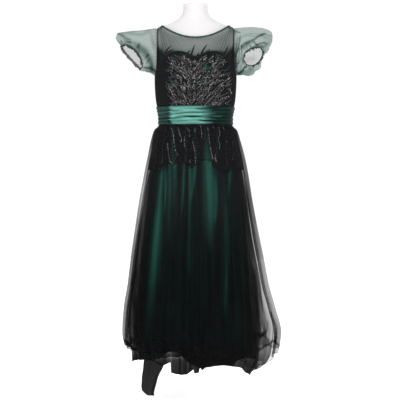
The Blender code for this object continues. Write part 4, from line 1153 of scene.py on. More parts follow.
for label, side, first, last in PANELS:
    full = bodice_grid(side, panel_columns(first, last, 120), np.linspace(0, 1, FINE_ROWS))
    out = outward_normals(full, wrap=False)
    width = np.abs(full[70, :, 0])
    top = read(SWEETHEART, "z", width) if side < 0 else LINING_BACK_TOP - 0.013 * (width / 0.1755) ** 4
    rows = np.arange(FINE_ROWS)
    top_row = np.array([np.interp(t, full[:, c, 2], rows) for c, t in enumerate(top)])
    place = np.linspace(0, 1, LINING_ROWS)[:, None] * top_row
    low = np.minimum(place.astype(int), FINE_ROWS - 2)
    part = (place - low)[..., None]
    column = np.arange(full.shape[1])
    points = full[low, column] * (1 - part) + full[low + 1, column] * part
    out = out[low, column]
    points = points - LINING_STEP * out
    if side > 0:
        beside_zip(points)
    # A painted shine, stronger on the front than on the back.
    shine = np.full(points.shape[:2], 0.55 if side < 0 else 0.3)
    piece = make_surface("underbodice_" + label + "_satin", points, lining_satin, outward=out,
                         values={"shine": shine})
    add_thickness(piece, WALL * 0.8)
    dress(piece, "underbodice", "underbodice_" + label)

# %% [markdown]
# The neckline is bound with a rolled strip, about eight millimetres deep on the outside. An oval
# carried along the neckline gives it, with a slight roll that varies as hand-turned cloth does.

# %% Neck binding
binding_finish, _ = grained_finish(
    "binding", (38, 66, 58), (0.6, 0.2), ("UV", 1.0, (700, 6, 1)),
    [(0.35, (28, 48, 44)), (0.65, (52, 86, 76))], (0.5, 0.0004))


def neckline_path(count):
    """The neckline all round: the top row of the front, then that of the back."""
    front = bodice_grid(-1, np.linspace(1, 17, count), np.array([0.985, 1.0]))
    back = bodice_grid(1, np.linspace(17, 1, count), np.array([0.985, 1.0]))
    row = np.concatenate([front, back], axis=1)
    rise = row[1] - row[0]
    row[:, [0, count - 1, count, 2 * count - 1], 1] = 0
    keep = np.r_[0:count - 1, count:2 * count - 1]
    return row[1][keep], rise[keep]


def carry_oval(name, path, up, wide, tall, material, around=16):
    """An oval carried along a closed path: its tall axis follows up, its wide axis is across."""
    along = unit(np.roll(path, -1, axis=0) - np.roll(path, 1, axis=0))
    up = unit(up - np.sum(up * along, axis=1, keepdims=True) * along)
    across = np.cross(along, up)
    angle = 2 * np.pi * np.arange(around) / around
    points = (path[None] + tall * np.sin(angle)[:, None, None] * up[None]
              + wide * np.cos(angle)[:, None, None] * across[None])
    points = np.concatenate([points, points[:1]])
    piece = make_surface(name, points, material, wrap=True)
    weld(piece)
    return piece


neck_path, neck_rise = neckline_path(110)
roll = 1 + 0.10 * ring_noise(np.arange(len(neck_path)) / len(neck_path), 41, 10, 60)
binding = carry_oval("neck_binding_rolled", neck_path + (0, 0, 0.0004), neck_rise,
                     0.0019 * roll[:, None], 0.0042 * roll[:, None], binding_finish)
dress(binding, "binding", "neck_binding")

# %% [markdown]
# Each sleeve is a puff of crisp organza. Four rails along its top, front, bottom and back say
# where it goes, and a ring through them is a sum of cosines. The first ring is bent to meet the
# armhole. Crisp cloth breaks into flat planes with sharp creases between them. The main creases
# are listed strokes: the cloth lies doubled there, so it covers more and stands out a little, and
# its colour carries a painted shade. Ridges in random directions break up the planes between them.

# %% Sleeves
SLEEVE_COLUMNS = "v x y z"
LEFT_SLEEVE = {
    "top": table(SLEEVE_COLUMNS, (0, 0.1648, 0, 1.578), (0.25, 0.206, 0, 1.575),
                 (0.5, 0.2705, 0, 1.565), (0.75, 0.333, 0, 1.5545), (0.88, 0.339, 0, 1.537),
                 (1, 0.3135, 0, 1.505)),
    "front": table(SLEEVE_COLUMNS, (0, 0.165, -0.058, 1.475), (0.25, 0.190, -0.100, 1.485),
                   (0.5, 0.222, -0.118, 1.495), (0.75, 0.250, -0.100, 1.490), (1, 0.2495, -0.050, 1.4775)),
    "bottom": table(SLEEVE_COLUMNS, (0, 0.1758, 0, 1.376), (0.25, 0.197, 0, 1.3846),
                    (0.5, 0.2125, 0, 1.3945), (0.75, 0.2240, 0, 1.4020), (1, 0.2290, 0, 1.4120)),
    "back": table(SLEEVE_COLUMNS, (0, 0.165, 0.062, 1.475), (0.25, 0.195, 0.105, 1.470),
                  (0.5, 0.232, 0.122, 1.462), (0.75, 0.268, 0.105, 1.455), (1, 0.2752, 0.045, 1.4515)),
}
RIGHT_SLEEVE = {
    "top": table(SLEEVE_COLUMNS, (0, 0.1648, 0, 1.578), (0.25, 0.215, 0, 1.5824),
                 (0.5, 0.275, 0, 1.581), (0.75, 0.325, 0, 1.558), (0.90, 0.320, -0.025, 1.520),
                 (1, 0.268, -0.052, 1.492)),
    "front": table(SLEEVE_COLUMNS, (0, 0.165, -0.058, 1.475), (0.25, 0.190, -0.092, 1.486),
                   (0.5, 0.203, -0.102, 1.487), (0.75, 0.212, -0.104, 1.480), (1, 0.205, -0.085, 1.462)),
    "bottom": table(SLEEVE_COLUMNS, (0, 0.1758, 0, 1.376), (0.25, 0.200, 0, 1.377),
                    (0.5, 0.222, 0, 1.380), (0.75, 0.238, -0.010, 1.392), (1, 0.226, -0.040, 1.420)),
    "back": table(SLEEVE_COLUMNS, (0, 0.165, 0.062, 1.475), (0.25, 0.198, 0.100, 1.462),
                  (0.5, 0.240, 0.110, 1.445), (0.75, 0.285, 0.060, 1.435), (1, 0.277, -0.015, 1.448)),
}
SLEEVE_FOLD = table("v fold", (0, 0.0), (0.15, 0.0035), (0.45, 0.0020), (0.8, 0.0060), (1, 0.0))
ARMHOLE_HEIGHTS = (1.578, 1.556, 1.527, 1.490, 1.450, 1.412, 1.390, 1.376)
LEFT_CREASES = [
    [(-333, 1559, 4.3, 0.35), (-260, 1570, 4.3, 0.3), (-174, 1577, 4.3, 0.35)],
    [(-283, 1557, 3.9, 0.2), (-224, 1556, 3.9, 0.25), (-194, 1568, 3.4, 0.2)],
    [(-333, 1556, 3.4, 0.5), (-307, 1547, 4.3, 0.6), (-289, 1536, 4.7, 0.6), (-277, 1531, 4.3, 0.4)],
    [(-190, 1565, 3.4, 0.2), (-187, 1542, 4.3, 0.3), (-174, 1505, 4.3, 0.3)],
    [(-303, 1529, 3.9, 0.6), (-283, 1520, 4.3, 0.6)],
    [(-321, 1526, 3.4, 0.6), (-304, 1493, 3.9, 0.6)],
    [(-240, 1512, 4.3, 0.35), (-250, 1493, 4.3, 0.5)],
    [(-202, 1467, 3.9, 0.35), (-217, 1450, 3.9, 0.45)],
    [(-282, 1522, 10.8, 0.4), (-247, 1507, 13.8, 0.65), (-217, 1484, 15.5, 0.75), (-198, 1453, 14.6, 0.75),
     (-185, 1419, 10.3, 0.65)],
    [(-217, 1413, 6.9, 0.9), (-196, 1410, 8.6, 1), (-174, 1398, 7.7, 0.9)],
]
RIGHT_CREASES = [
    [(193, 1545, 3.4, 0.7), (190, 1523, 3.4, 0.8), (183, 1499, 3.4, 0.8), (172, 1459, 3.9, 0.8),
     (169, 1415, 3.9, 0.7)],
    [(177, 1566, 3.4, 0.7), (187, 1565, 3.4, 0.7)],
    [(166, 1570, 5.2, 0.7), (161, 1535, 5.2, 0.7), (157, 1488, 5.2, 0.7), (157, 1436, 6.4, 0.7)],
    [(196, 1505, 3.4, 0.7), (199, 1480, 3.4, 0.7), (195, 1459, 3.4, 0.5), (180, 1426, 3.4, 0.6)],
    [(174, 1514, 7.7, 0.35), (174, 1445, 11.2, 0.45)],
    [(301, 1557, 3.4, 0.6), (277, 1551, 3.4, 0.6), (255, 1535, 3.9, 0.7), (233, 1526, 4.7, 0.8),
     (211, 1514, 6, 0.8), (199, 1506, 5.2, 0.7)],
    [(249, 1524, 4.3, 0.4), (221, 1511, 5.6, 0.5)],
    [(202, 1542, 3, 0.25), (217, 1556, 3, 0.25), (240, 1557, 3.4, 0.35), (277, 1553, 3.4, 0.4),
     (301, 1557, 3.4, 0.5), (314, 1547, 3.9, 0.5), (331, 1544, 3, 0.35)],
    [(251, 1521, 3, 0.9), (258, 1511, 3.4, 0.9), (266, 1506, 3.4, 0.9)],
    [(258, 1509, 3, 0.8), (277, 1514, 3, 0.85), (297, 1518, 3.4, 0.9), (305, 1511, 3.4, 0.7)],
    [(320, 1531, 6.9, 0.25), (303, 1501, 7.7, 0.3)],
    [(217, 1417, 3.9, 0.9), (202, 1402, 4.3, 0.9), (184, 1389, 4.7, 0.9)],
    [(174, 1428, 7.7, 0.6), (174, 1393, 9.5, 0.8)],
    [(204, 1436, 5.2, 0.4), (196, 1415, 5.6, 0.4)],
    [(245, 1406, 12, 0.5), (222, 1396, 14, 0.55), (199, 1388, 14, 0.5)],
    [(228, 1462, 16, 0.25), (262, 1470, 14, 0.25)],
]
CREASE_HEIGHT = 0.0016
SLEEVE_FOLDS = 7

organza_finish = sheer_finish("sleeve_organza", (106, 134, 126), (20, 46, 39), 0.7, (420, 40, 1), 0.9, 1.1)


def armhole_ring(turn):
    """The armhole's edge: down the front from the shoulder and up the back."""
    down = np.array(ARMHOLE_HEIGHTS)
    levels = np.concatenate([down, down[-2::-1]])
    height = np.interp(turn * (len(levels) - 1), np.arange(len(levels)), levels)
    front = turn < 0.5
    arm = np.where(front, -read(TORSO, "arm_front", height), read(TORSO, "arm_back", height))
    return np.stack([read(TORSO, "half", height), arm, height], axis=-1)


def sleeve_ring(rails, v, turn):
    """Mean of the four rails, plus first and second harmonics around the ring."""
    point = {key: np.stack([read(rail, axis, v) for axis in "xyz"], axis=-1)[..., None, :]
             for key, rail in rails.items()}
    angle = 2 * np.pi * turn[:, None]
    mean = (point["top"] + point["front"] + point["bottom"] + point["back"]) / 4
    oval = (point["top"] + point["bottom"] - point["front"] - point["back"]) / 4
    return (mean + np.cos(angle) * (point["top"] - point["bottom"]) / 2
            + np.sin(angle) * (point["front"] - point["back"]) / 2 + np.cos(2 * angle) * oval)


def ridges(turn, v, seed, count):
    """Creases in random directions: 1 minus the size of a sine, which has sharp crests."""
    random = np.random.default_rng(seed)
    total = 0
    for _ in range(count):
        around, along = random.integers(2, 6), random.uniform(-2.2, 2.2)
        phase = random.uniform(0, np.pi)
        total = total + (1 - 2 * np.abs(np.sin(np.pi * (around * turn + along * v) + phase)))
    return total / count


def add_sleeve(hand, side, rails, creases, seed, crease):
    """A sleeve's sheer surface, with gathers at both ends and creases between."""
    columns, rows = 252, 84
    turn = np.arange(columns) / columns
    v = np.linspace(0, 1, rows)
    ring = sleeve_ring(rails, v, turn)
    start = armhole_ring(turn) - sleeve_ring(rails, np.zeros(1), turn)[0]
    plain = ring + ((1 - v) ** 2)[:, None, None] * start
    out = outward_normals(plain, True, plain - plain.mean(axis=(0, 1)))
    across = v[:, None]
    to_cuff = 1 - across
    mirror = np.array([side, 1, 1])
    # Where creases double the cloth it covers more, and the shade paints it darker.
    doubled = np.clip(drawn(plain * mirror, creases, mirror=1), 0, 1)
    fold = read(SLEEVE_FOLD, "fold", v)[:, None] * np.cos(2 * np.pi * SLEEVE_FOLDS * turn)
    gather = (0.0016 * gathers(turn, 33, seed) * np.exp(-across / 0.12) * smooth_step(across, 0, 0.03)
              + 0.0022 * gathers(turn, 26, seed + 1) * np.exp(-to_cuff / 0.16)
              * smooth_step(to_cuff, 0, 0.03))
    inside = smooth_step(across, 0, 0.2) * smooth_step(to_cuff, 0, 0.15)
    broken = (crease * ridges(turn, across, seed + 2, 5) + CREASE_HEIGHT * doubled) * inside
    points = plain + (0.7 * fold + gather + broken)[..., None] * out
    points[..., 0] = np.maximum(points[..., 0], read(TORSO, "half", points[..., 2]) + 0.0004)
    rim = np.exp(-to_cuff / 0.022)
    cover = 0.44 + 0.30 * np.exp(-across / 0.03) + 0.10 * np.exp(-to_cuff / 0.08) + 0.35 * rim + 0 * turn
    cover = cover + doubled * (0.95 - cover)
    density = fold_density(points, plain, True, cover)
    piece = make_surface("sleeve_" + hand + "_organza", points * mirror, organza_finish, wrap=True,
                         values={"cover": density, "shade": np.clip(np.maximum(doubled, 0.9 * rim), 0, 1)})
    dress(piece, "organza", "sleeve_" + hand)
    return piece


sleeve_left = add_sleeve("left", -1, LEFT_SLEEVE, LEFT_CREASES, 51, 0.0050)
sleeve_right = add_sleeve("right", 1, RIGHT_SLEEVE, RIGHT_CREASES, 61, 0.0070)

# %% [markdown]
# The cuff is a narrow edge of the same cloth, gathered until it stands in dark waves. It starts
# at the sleeve's last ring and grows along the cuff's axis while a wave opens it.

# %% Cuff frills
cuff_finish = sheer_finish("cuff_edge", (20, 38, 34), (10, 20, 17), 0.75, (500, 8, 1), 0.8, 1.25)
FRILL_LENGTH = 0.011


def add_cuff(hand, side, rails, seed):
    """The frill around a cuff: waves across it that grow with the square of its length."""
    columns, rows = 300, 14
    turn = np.arange(columns) / columns
    rim = sleeve_ring(rails, np.ones(1), turn)[0]
    axis = unit(np.cross(rim[0] - rim[columns // 2], rim[columns // 4] - rim[3 * columns // 4]))
    spoke = unit(rim - rim.mean(axis=0))
    share = np.linspace(0, 1, rows)[:, None]
    wave = 0.3 + np.cos(2 * np.pi * 9 * turn) + 0.8 * gathers(turn, 23, seed)
    flare = (0.0034 * wave * share ** 1.5)[..., None] * spoke
    length = (FRILL_LENGTH * (1 + 0.16 * ring_noise(turn, seed + 1, 6, 30)) * share)[..., None]
    points = rim + length * axis + flare
    piece = make_surface("cuff_" + hand + "_frill", points * (side, 1, 1), cuff_finish, wrap=True,
                         values={"cover": 0.93 - 0.06 * share + 0 * turn, "shade": 0.5 * share + 0 * turn})
    dress(piece, "cuff", "cuff_frill_" + hand)
    return piece


cuff_left = add_cuff("left", -1, LEFT_SLEEVE, 71)
cuff_right = add_cuff("right", 1, RIGHT_SLEEVE, 81)

# %% [markdown]
# The sash is satin laid in soft pleats around the waist. A painted highlight makes its front
# shine bright while the sides stay dark, and it fades to the right, where the colour is painted
# darker still. Each pleat is a round crest with a narrow valley; the crests are painted
# brighter, and strokes paint shade along the lines between the pleats and a few highlights.

# %% Sash
SASH_BOTTOM = 1.165
SASH_TOP = 1.242
SASH_INSIDE = table("z off", (1.165, 0.0068), (1.181, 0.0066), (1.210, 0.0010), (1.242, 0.0008))
SASH_PLEATS = 5
HIGHLIGHT_EDGE = (-115, -104)
HIGHLIGHT_FADE = (15, 85)
SASH_SHADE_AND_HIGHLIGHTS = [
    [(-90, 1233, 3.5, 0.16), (-40, 1232, 5, 0.30), (10, 1233, 4, 0.14)],
    [(-100, 1205, 4, 0.28), (-75, 1209, 3.5, 0.2), (-30, 1213, 3, 0.2), (20, 1211, 3, 0.2)],
    [(-60, 1190, 3.5, 0.12), (-30, 1192, 4, 0.28), (10, 1190, 3.5, 0.12)],
    [(-113, 1180, 5, -0.55), (-104, 1172, 5, -0.45)],
    [(2, 1237, 2.1, -0.5), (45, 1238, 3, -0.6), (97, 1238, 3, -0.3)],
    [(-84, 1216, 1.5, -0.25), (-24, 1218, 1.7, -0.3), (37, 1221, 1.7, -0.3)],
    [(-47, 1203, 2.1, -0.5), (-15, 1201, 3, -0.8), (26, 1203, 2.1, -0.5)],
    [(15, 1185, 2.1, -0.4), (41, 1184, 3, -0.5), (71, 1186, 2.6, -0.3)],
    [(-101, 1190, 1.7, -0.3), (-75, 1202, 2.1, -0.3), (-49, 1208, 1.7, -0.2)],
    [(-101, 1226, 1.5, -0.2), (-75, 1230, 1.5, -0.2)],
    [(19, 1213, 2.1, 0.2), (54, 1214, 2.1, 0.35), (88, 1216, 1.7, 0.25)],
    [(28, 1191, 2.1, 0.2), (62, 1189, 2.1, 0.25), (88, 1190, 1.7, 0.15)],
    [(75, 1202, 1.7, 0.25), (110, 1202, 1.7, 0.25)],
    [(15, 1176, 1.7, 0.2), (71, 1176, 1.7, 0.25)],
    [(-161, 1239, 1.7, 0.15), (-135, 1241, 1.7, 0.2)],
    [(-153, 1217, 2.6, 0.1), (-118, 1221, 2.6, 0.1)],
    [(-157, 1193, 2.1, -0.12), (-114, 1195, 2.1, -0.12)],
]


def around_waist(turn, height):
    """Points on the bodice all round at a height: turn 0 is at +X, and it passes the front first."""
    angle = 2 * np.pi * turn
    level = np.maximum(height, BODICE_BOTTOM)
    front = torso_point(angle, level, -1)
    back = torso_point(angle, level, 1)
    points = np.where((turn <= 0.5)[..., None], front, back)
    points[..., 2] = height
    return points


def sash_shape(columns, rows):
    """Base ring plus an offset: the solid's pleats, narrower valleys, and a fine irregular fold."""
    turn = np.arange(columns) / columns
    share = np.linspace(0, 1, rows)[:, None]
    edge = 0.0010 * ring_noise(turn, 91, 2, 14)
    height = SASH_BOTTOM + (SASH_TOP - SASH_BOTTOM) * share + edge * (2 * share - 1)
    base = around_waist(np.broadcast_to(turn, height.shape), height)
    out = outward_normals(base, wrap=True)
    wander = (0.30 * ring_noise(turn, 92, 2, 9) * np.sin(np.pi * share)
              + 0.16 * ring_noise(turn, 93, 6, 22) * np.sin(3 * np.pi * share))
    phase = SASH_PLEATS * share + wander
    pleat = 1 - np.abs(np.cos(np.pi * phase)) ** 2.6
    small_phase = 2.3 * SASH_PLEATS * share + 1.6 * wander + ring_noise(turn, 94, 3, 17)
    small = 1 - np.abs(np.cos(np.pi * small_phase)) ** 3
    offset = read(SASH_INSIDE, "off", height) + WALL + 0.0022 * pleat + 0.0006 * small
    return base + offset[..., None] * out, pleat


def sash_shine(points, pleat):
    """A painted highlight on the front, painted shade at the sides and to the right, and painted lines and
    crests on the pleats.
    """
    x, z = seen(points)
    front = smooth_step(-points[..., 1], -0.01, 0.01)
    ragged = x + 5 * np.sin(0.9 * z) + 3 * np.sin(0.35 * z + 1)
    panel = smooth_step(ragged, *HIGHLIGHT_EDGE) * (1 - smooth_step(ragged, *HIGHLIGHT_FADE)) * front
    rest = 0.11 - 0.09 * smooth_step(x, -60, 60)
    shine = rest + (0.63 - rest) * panel + (0.07 + 0.13 * panel) * (pleat - 0.6)
    return np.clip(shine + drawn(points, SASH_SHADE_AND_HIGHLIGHTS), 0, 1)


sash_satin = satin_finish("sash_satin", (5, 22, 19), (124, 194, 180), 0.5, 0.05, (9, 130, 1), 0.0004, 0.1)
sash_points, sash_pleat = sash_shape(320, 72)
sash = make_surface("sash_pleated", sash_points, sash_satin, wrap=True,
                    values={"shine": sash_shine(sash_points, sash_pleat)})
add_thickness(sash, WALL)
dress(sash, "sash_satin", "sash_front", "sash_back_left", "sash_back_right")

# %% [markdown]
# Lace fronds cover the bodice and hang over the hips. A frond is drawn flat first: a curved
# spine, and barbs that leave it at an angle and bend towards its tip. Each curve then becomes a
# narrow tapered ribbon laid on the cloth. Drawing flat keeps the pattern even, and laying it on
# afterwards makes it follow the body, which a projected picture would not do.

# %% Draw fronds flat
def bezier(first, control, last, t):
    """Quadratic Bezier curves: the three points weighted by squares of t and 1 - t."""
    t = t[:, None]
    return ((1 - t) ** 2 * first[..., None, :] + 2 * t * (1 - t) * control[..., None, :]
            + t ** 2 * last[..., None, :])


def draw_frond(spine, barbs, longest, seed, opening=0.85, steps=9):
    """A frond's curves in the flat: the spine's point arrays, then two barbs for each root.

    A barb's length is the longest times the sine of its place to the power 0.7. Its control
    point lies 48 degrees off the spine and its end 36 degrees, times the opening.
    """
    random = np.random.default_rng(seed)
    spine = np.array(spine, dtype=float)
    t = np.linspace(0, 1, 60)
    knots = np.linspace(0, 1, len(spine))
    line = np.stack([smooth_curve(t, knots, spine[:, 0]), smooth_curve(t, knots, spine[:, 1])], axis=-1)
    tangent = unit(np.gradient(line, axis=0))
    place = np.repeat(np.linspace(0.03, 0.97, barbs), 2) + random.uniform(-0.012, 0.012, 2 * barbs)
    place = np.clip(place, 0, 1)
    side = np.tile([-1, 1], barbs)
    index = np.clip((place * 59).astype(int), 0, 59)
    root, way = line[index], tangent[index]
    length = longest * np.sin(np.pi * (0.12 + 0.83 * place)) ** 0.7 * random.uniform(0.75, 1.15, 2 * barbs)

    def turned_way(degrees):
        angle = np.radians(degrees) * opening * side
        c, s = np.cos(angle), np.sin(angle)
        return np.stack([way[:, 0] * c - way[:, 1] * s, way[:, 0] * s + way[:, 1] * c], axis=-1)

    wobble = random.uniform(-9, 9, 2 * barbs)
    control = root + 0.5 * length[:, None] * turned_way(48 + wobble)
    end = root + length[:, None] * turned_way(36 + wobble)
    return line[None, ::4], bezier(root, control, end, np.linspace(0, 1, steps))


# %% [markdown]
# Beads catch the light along the barbs. Thousands of round beads would be far too heavy, and at
# this size each is only a glint, so a bead is an eight-sided grain. All of them share one mesh,
# and an attribute gives each a tint. Most of it comes from the barb, so that whole barbs stand
# out bright among dull ones, as they do where rows of beads face the light.

# %% Ribbons and beads
LACE_LIFT = 0.0006


def along_line(places, knots, line):
    """Points of a line at places along it, straight between its knots."""
    return np.stack([np.interp(places, knots, column) for column in line.T], axis=-1)


def lay_ribbons(name, curves, widths, place_on):
    """Narrow strips along flat curves: each point is moved half a width to either side."""
    points, faces, start = [], [], 0
    for curve, width in zip(curves, widths):
        place, normal = place_on(curve[..., 0], curve[..., 1], LACE_LIFT)
        side = np.cross(normal, unit(np.gradient(place, axis=1)))
        taper = np.linspace(1, 0, curve.shape[1]) ** 0.6 * 0.85 + 0.15
        half = 0.5 * width * taper[None, :, None]
        strip = np.stack([place - half * side, place + half * side], axis=2)
        count, steps = curve.shape[:2]
        index = start + np.arange(count * steps * 2).reshape(count, steps, 2)
        faces.append(np.stack([index[:, :-1, 0], index[:, :-1, 1], index[:, 1:, 1], index[:, 1:, 0]],
                              axis=-1).reshape(-1, 4)[:, ::-1])
        points.append(strip.reshape(-1, 3))
        start += count * steps * 2
    piece = finish_mesh(name, np.vstack(points), np.vstack(faces), thread_finish)
    print(name, len(piece.data.polygons), "faces")
    return piece


def scatter_beads(name, curves, place_on, lift, spacing, size, seed, keep, spread, tones=(0.8, 0.2)):
    """Eight-sided grains along flat curves, spaced evenly and then shaken a little.

    The tones say how much of a bead's tint its curve decides, and how much its own draw.
    """
    random = np.random.default_rng(seed)
    flat, tints = [], []
    for curve in curves:
        step = np.linalg.norm(np.diff(curve, axis=1), axis=2)
        walked = np.concatenate([np.zeros((len(curve), 1)), np.cumsum(step, axis=1)], axis=1)
        for line, way in zip(curve, walked):
            at = np.arange(spacing / 2, way[-1], spacing)
            flat.append(along_line(at, way, line))
            tints.append(tones[0] * random.random() + tones[1] * random.random(len(at)))
    flat, tints = np.vstack(flat), np.concatenate(tints)
    kept = random.random(len(flat)) < keep
    flat = flat[kept] + random.normal(0, spread, (kept.sum(), 2))
    centre, normal = place_on(flat[:, 0], flat[:, 1], lift)
    across = unit(np.cross(normal, random.normal(size=normal.shape)))
    other = np.cross(normal, across)
    radius = size * random.uniform(0.65, 1.2, (len(flat), 1))
    tilt = 0.6 * unit(normal + 0.45 * random.normal(size=normal.shape))
    ways = (across, other, -across, -other, tilt, -tilt)
    corners = np.stack([centre + radius * way for way in ways], axis=1)
    pattern = np.array([(0, 1, 4), (1, 2, 4), (2, 3, 4), (3, 0, 4),
                        (1, 0, 5), (2, 1, 5), (3, 2, 5), (0, 3, 5)])
    faces = (np.arange(len(flat))[:, None, None] * 6 + pattern).reshape(-1, 3)
    piece = finish_mesh(name, corners, faces, bead_finish, values={"tint": np.repeat(tints[kept], 6)},
                        smooth=False)
    print(name, len(flat), "beads")
    return piece


thread_finish, _ = grained_finish(
    "lace_thread", (16, 16, 18), (0.7, 0.1), ("Object", 700.0, (1, 1, 1)),
    [(0.35, (14, 14, 16)), (0.65, (38, 37, 40))], (0.5, 0.0004))

BEAD_TINTS = [(0.0, (226, 224, 224)), (0.10, (150, 146, 147)), (0.34, (92, 89, 90)), (0.94, (110, 32, 48))]
bead_finish, bead_shader, add, join = start_finish("bead_silver", (190, 184, 186), 0.3, 0.5, 0.35)
bead_tone = ramp(add, join, add("Attribute", attribute_name="tint"), "Fac", BEAD_TINTS)
bead_tone.color_ramp.interpolation = "CONSTANT"
join(bead_tone, "Color", bead_shader, "Base Color")

# %% [markdown]
# On the bodice the fronds grow out of the waist like ferns: one up the middle, and on each side
# a few that sweep outwards and up over the bust. Only some barbs carry beads, so that bright
# lines stand out on black. A few bare tips rise over the heart-shaped edge onto the sheer yoke.

# %% Fronds on the bodice
BODICE_FRONDS = [
    # spine in millimetres, barbs on each side, longest barb, opening
    ([(-15, 1247), (-19, 1307), (-15, 1376), (-13, 1458)], 17, 32, 0.95),
    ([(-28, 1290), (-49, 1324), (-75, 1359), (-101, 1376)], 7, 24, 1.0),
    ([(-24, 1333), (-41, 1376), (-62, 1415), (-84, 1445)], 9, 24, 1.0),
    ([(-32, 1256), (-58, 1281), (-88, 1303), (-110, 1342)], 9, 30, 1.0),
    ([(-24, 1385), (-41, 1419), (-49, 1445), (-58, 1466)], 7, 19, 0.9),
    ([(-2, 1294), (28, 1316), (58, 1333), (88, 1367)], 8, 24, 1.0),
    ([(-6, 1342), (15, 1376), (45, 1387), (75, 1398)], 7, 20, 1.0),
    ([(54, 1307), (71, 1350), (80, 1402), (67, 1445)], 9, 20, 0.9),
    ([(2, 1256), (37, 1268), (75, 1281), (114, 1316)], 9, 26, 1.0),
    ([(88, 1256), (110, 1299), (131, 1342), (153, 1376)], 9, 24, 1.0),
    ([(88, 1342), (97, 1385), (101, 1428), (92, 1466)], 9, 18, 0.7),
    ([(131, 1251), (148, 1286), (161, 1324), (166, 1359)], 7, 18, 0.9),
    ([(-97, 1281), (-114, 1312), (-120, 1333), (-123, 1350)], 5, 14, 0.9),
    ([(-75, 1385), (-92, 1410), (-105, 1436), (-114, 1458)], 6, 18, 0.9),
    ([(-24, 1256), (-49, 1262), (-84, 1262), (-110, 1251)], 6, 17, 0.8),
    ([(-6, 1402), (11, 1428), (32, 1449), (54, 1462)], 6, 19, 0.9),
    ([(-11, 1273), (11, 1290), (37, 1299), (62, 1301)], 6, 20, 1.0),
    ([(19, 1249), (49, 1256), (80, 1256), (114, 1251)], 6, 17, 0.9),
    ([(-37, 1290), (-62, 1305), (-88, 1312), (-114, 1307)], 6, 18, 1.0),
    ([(114, 1281), (135, 1307), (144, 1337), (144, 1372)], 7, 17, 0.9),
    ([(-24, 1307), (-41, 1333), (-58, 1348), (-80, 1357)], 5, 18, 1.0),
    ([(71, 1453), (80, 1428), (75, 1393), (62, 1363)], 6, 16, 0.8),
]
BARE_TIPS = [
    [(-131, 1475), (-123, 1490), (-106, 1510)],
    [(-120, 1475), (-110, 1486), (-95, 1493)],
    [(-43, 1458), (-34, 1477), (-22, 1487)],
    [(-22, 1458), (-12, 1486), (-4, 1512)],
    [(24, 1468), (32, 1490), (50, 1514)],
    [(39, 1468), (47, 1481), (62, 1492)],
    [(116, 1462), (131, 1484), (139, 1507)],
    [(140, 1449), (146, 1468), (157, 1488)],
    [(2, 1453), (9, 1466), (17, 1475)],
]
FRONT_NEARNESS = 0.979
BEADED_SHARE = 0.40
STEM_X = -16


def on_front_seen(x, z, lift):
    """The bodice's front where the camera sees the place, held off the side seams."""
    x = CAMERA_X + (x / 1000 - CAMERA_X) * FRONT_NEARNESS
    z = CAMERA_HEIGHT + (z / 1000 - CAMERA_HEIGHT) * FRONT_NEARNESS
    half = read(TORSO, "half", z)
    return on_front(np.clip(x, -0.94 * half, 0.94 * half), z, lift)


bodice_spines, bodice_barbs = [], []
for number, (spine, count, longest, opening) in enumerate(BODICE_FRONDS):
    spine_line, barb_lines = draw_frond(spine, count, longest, 200 + 10 * number, opening)
    bodice_spines.append(spine_line)
    bodice_barbs.append(barb_lines)


def fanned_strokes(seed):
    """Short strokes over the whole front, in uneven rows that fan up and out from the stem.

    The lean from upright grows with the distance d from the stem: 0.25 + 0.65 (1 - exp(-d / 45)).
    """
    random = np.random.default_rng(seed)
    across, up = np.meshgrid(np.arange(-108, 160, 7.5), np.arange(1250, 1462, 12.0))
    root = np.stack([across, up], axis=-1).reshape(-1, 2)
    root = root + random.uniform(-1, 1, root.shape) * (4.0, 7.0)
    off = root[:, 0] - STEM_X
    lean = np.sign(off) * (0.25 + 0.65 * (1 - np.exp(-np.abs(off) / 45))) + random.normal(0, 0.32, len(root))
    way = np.stack([np.sin(lean), np.cos(lean)], axis=-1)
    length = random.uniform(10, 25, len(root))[:, None]
    swing = np.sign(off) * random.uniform(-0.10, 0.25, len(root))
    bend = np.stack([-way[:, 1], way[:, 0]], axis=-1) * swing[:, None]
    end = root + length * way
    half = read(TORSO, "half", root[:, 1] / 1000) * 1000
    edge = 1000 * read(SWEETHEART, "z", np.abs(end[:, 0]) / 1000) - 3
    inside = (end[:, 1] < edge) & (np.abs(end[:, 0]) < 0.92 * half)
    window = stroke_field(root[:, 0], root[:, 1], BODICE_WINDOWS) > 0.2
    chance = np.where(window, 0.35, 0.95) - 0.5 * (np.abs(root[:, 0] - 2) > 102)
    kept = inside & (random.random(len(root)) < chance)
    return bezier(root[kept], (root + length * (0.5 * way + bend))[kept], end[kept], np.linspace(0, 1, 7))


tips = [bezier(np.array([a]), np.array([b]), np.array([c]), np.linspace(0, 1, 9)) for a, b, c in BARE_TIPS]
chosen = np.random.default_rng(211)
beaded = [barbs[chosen.random(len(barbs)) < BEADED_SHARE] for barbs in bodice_barbs] + [fanned_strokes(212)]
lace_widths = [0.0030] * len(bodice_spines) + [0.0026] * len(bodice_barbs) + [0.0095] * len(tips)
bodice_lace = lay_ribbons("bodice_fronds", bodice_spines + bodice_barbs + tips, lace_widths, on_front_seen)
bodice_beads = scatter_beads("bodice_beads", beaded, on_front_seen, 0.0014, 2.7, 0.0014, 301,
                             keep=0.90, spread=0.45)
for piece in (bodice_lace, bodice_beads):
    dress(piece, "bodice_net")
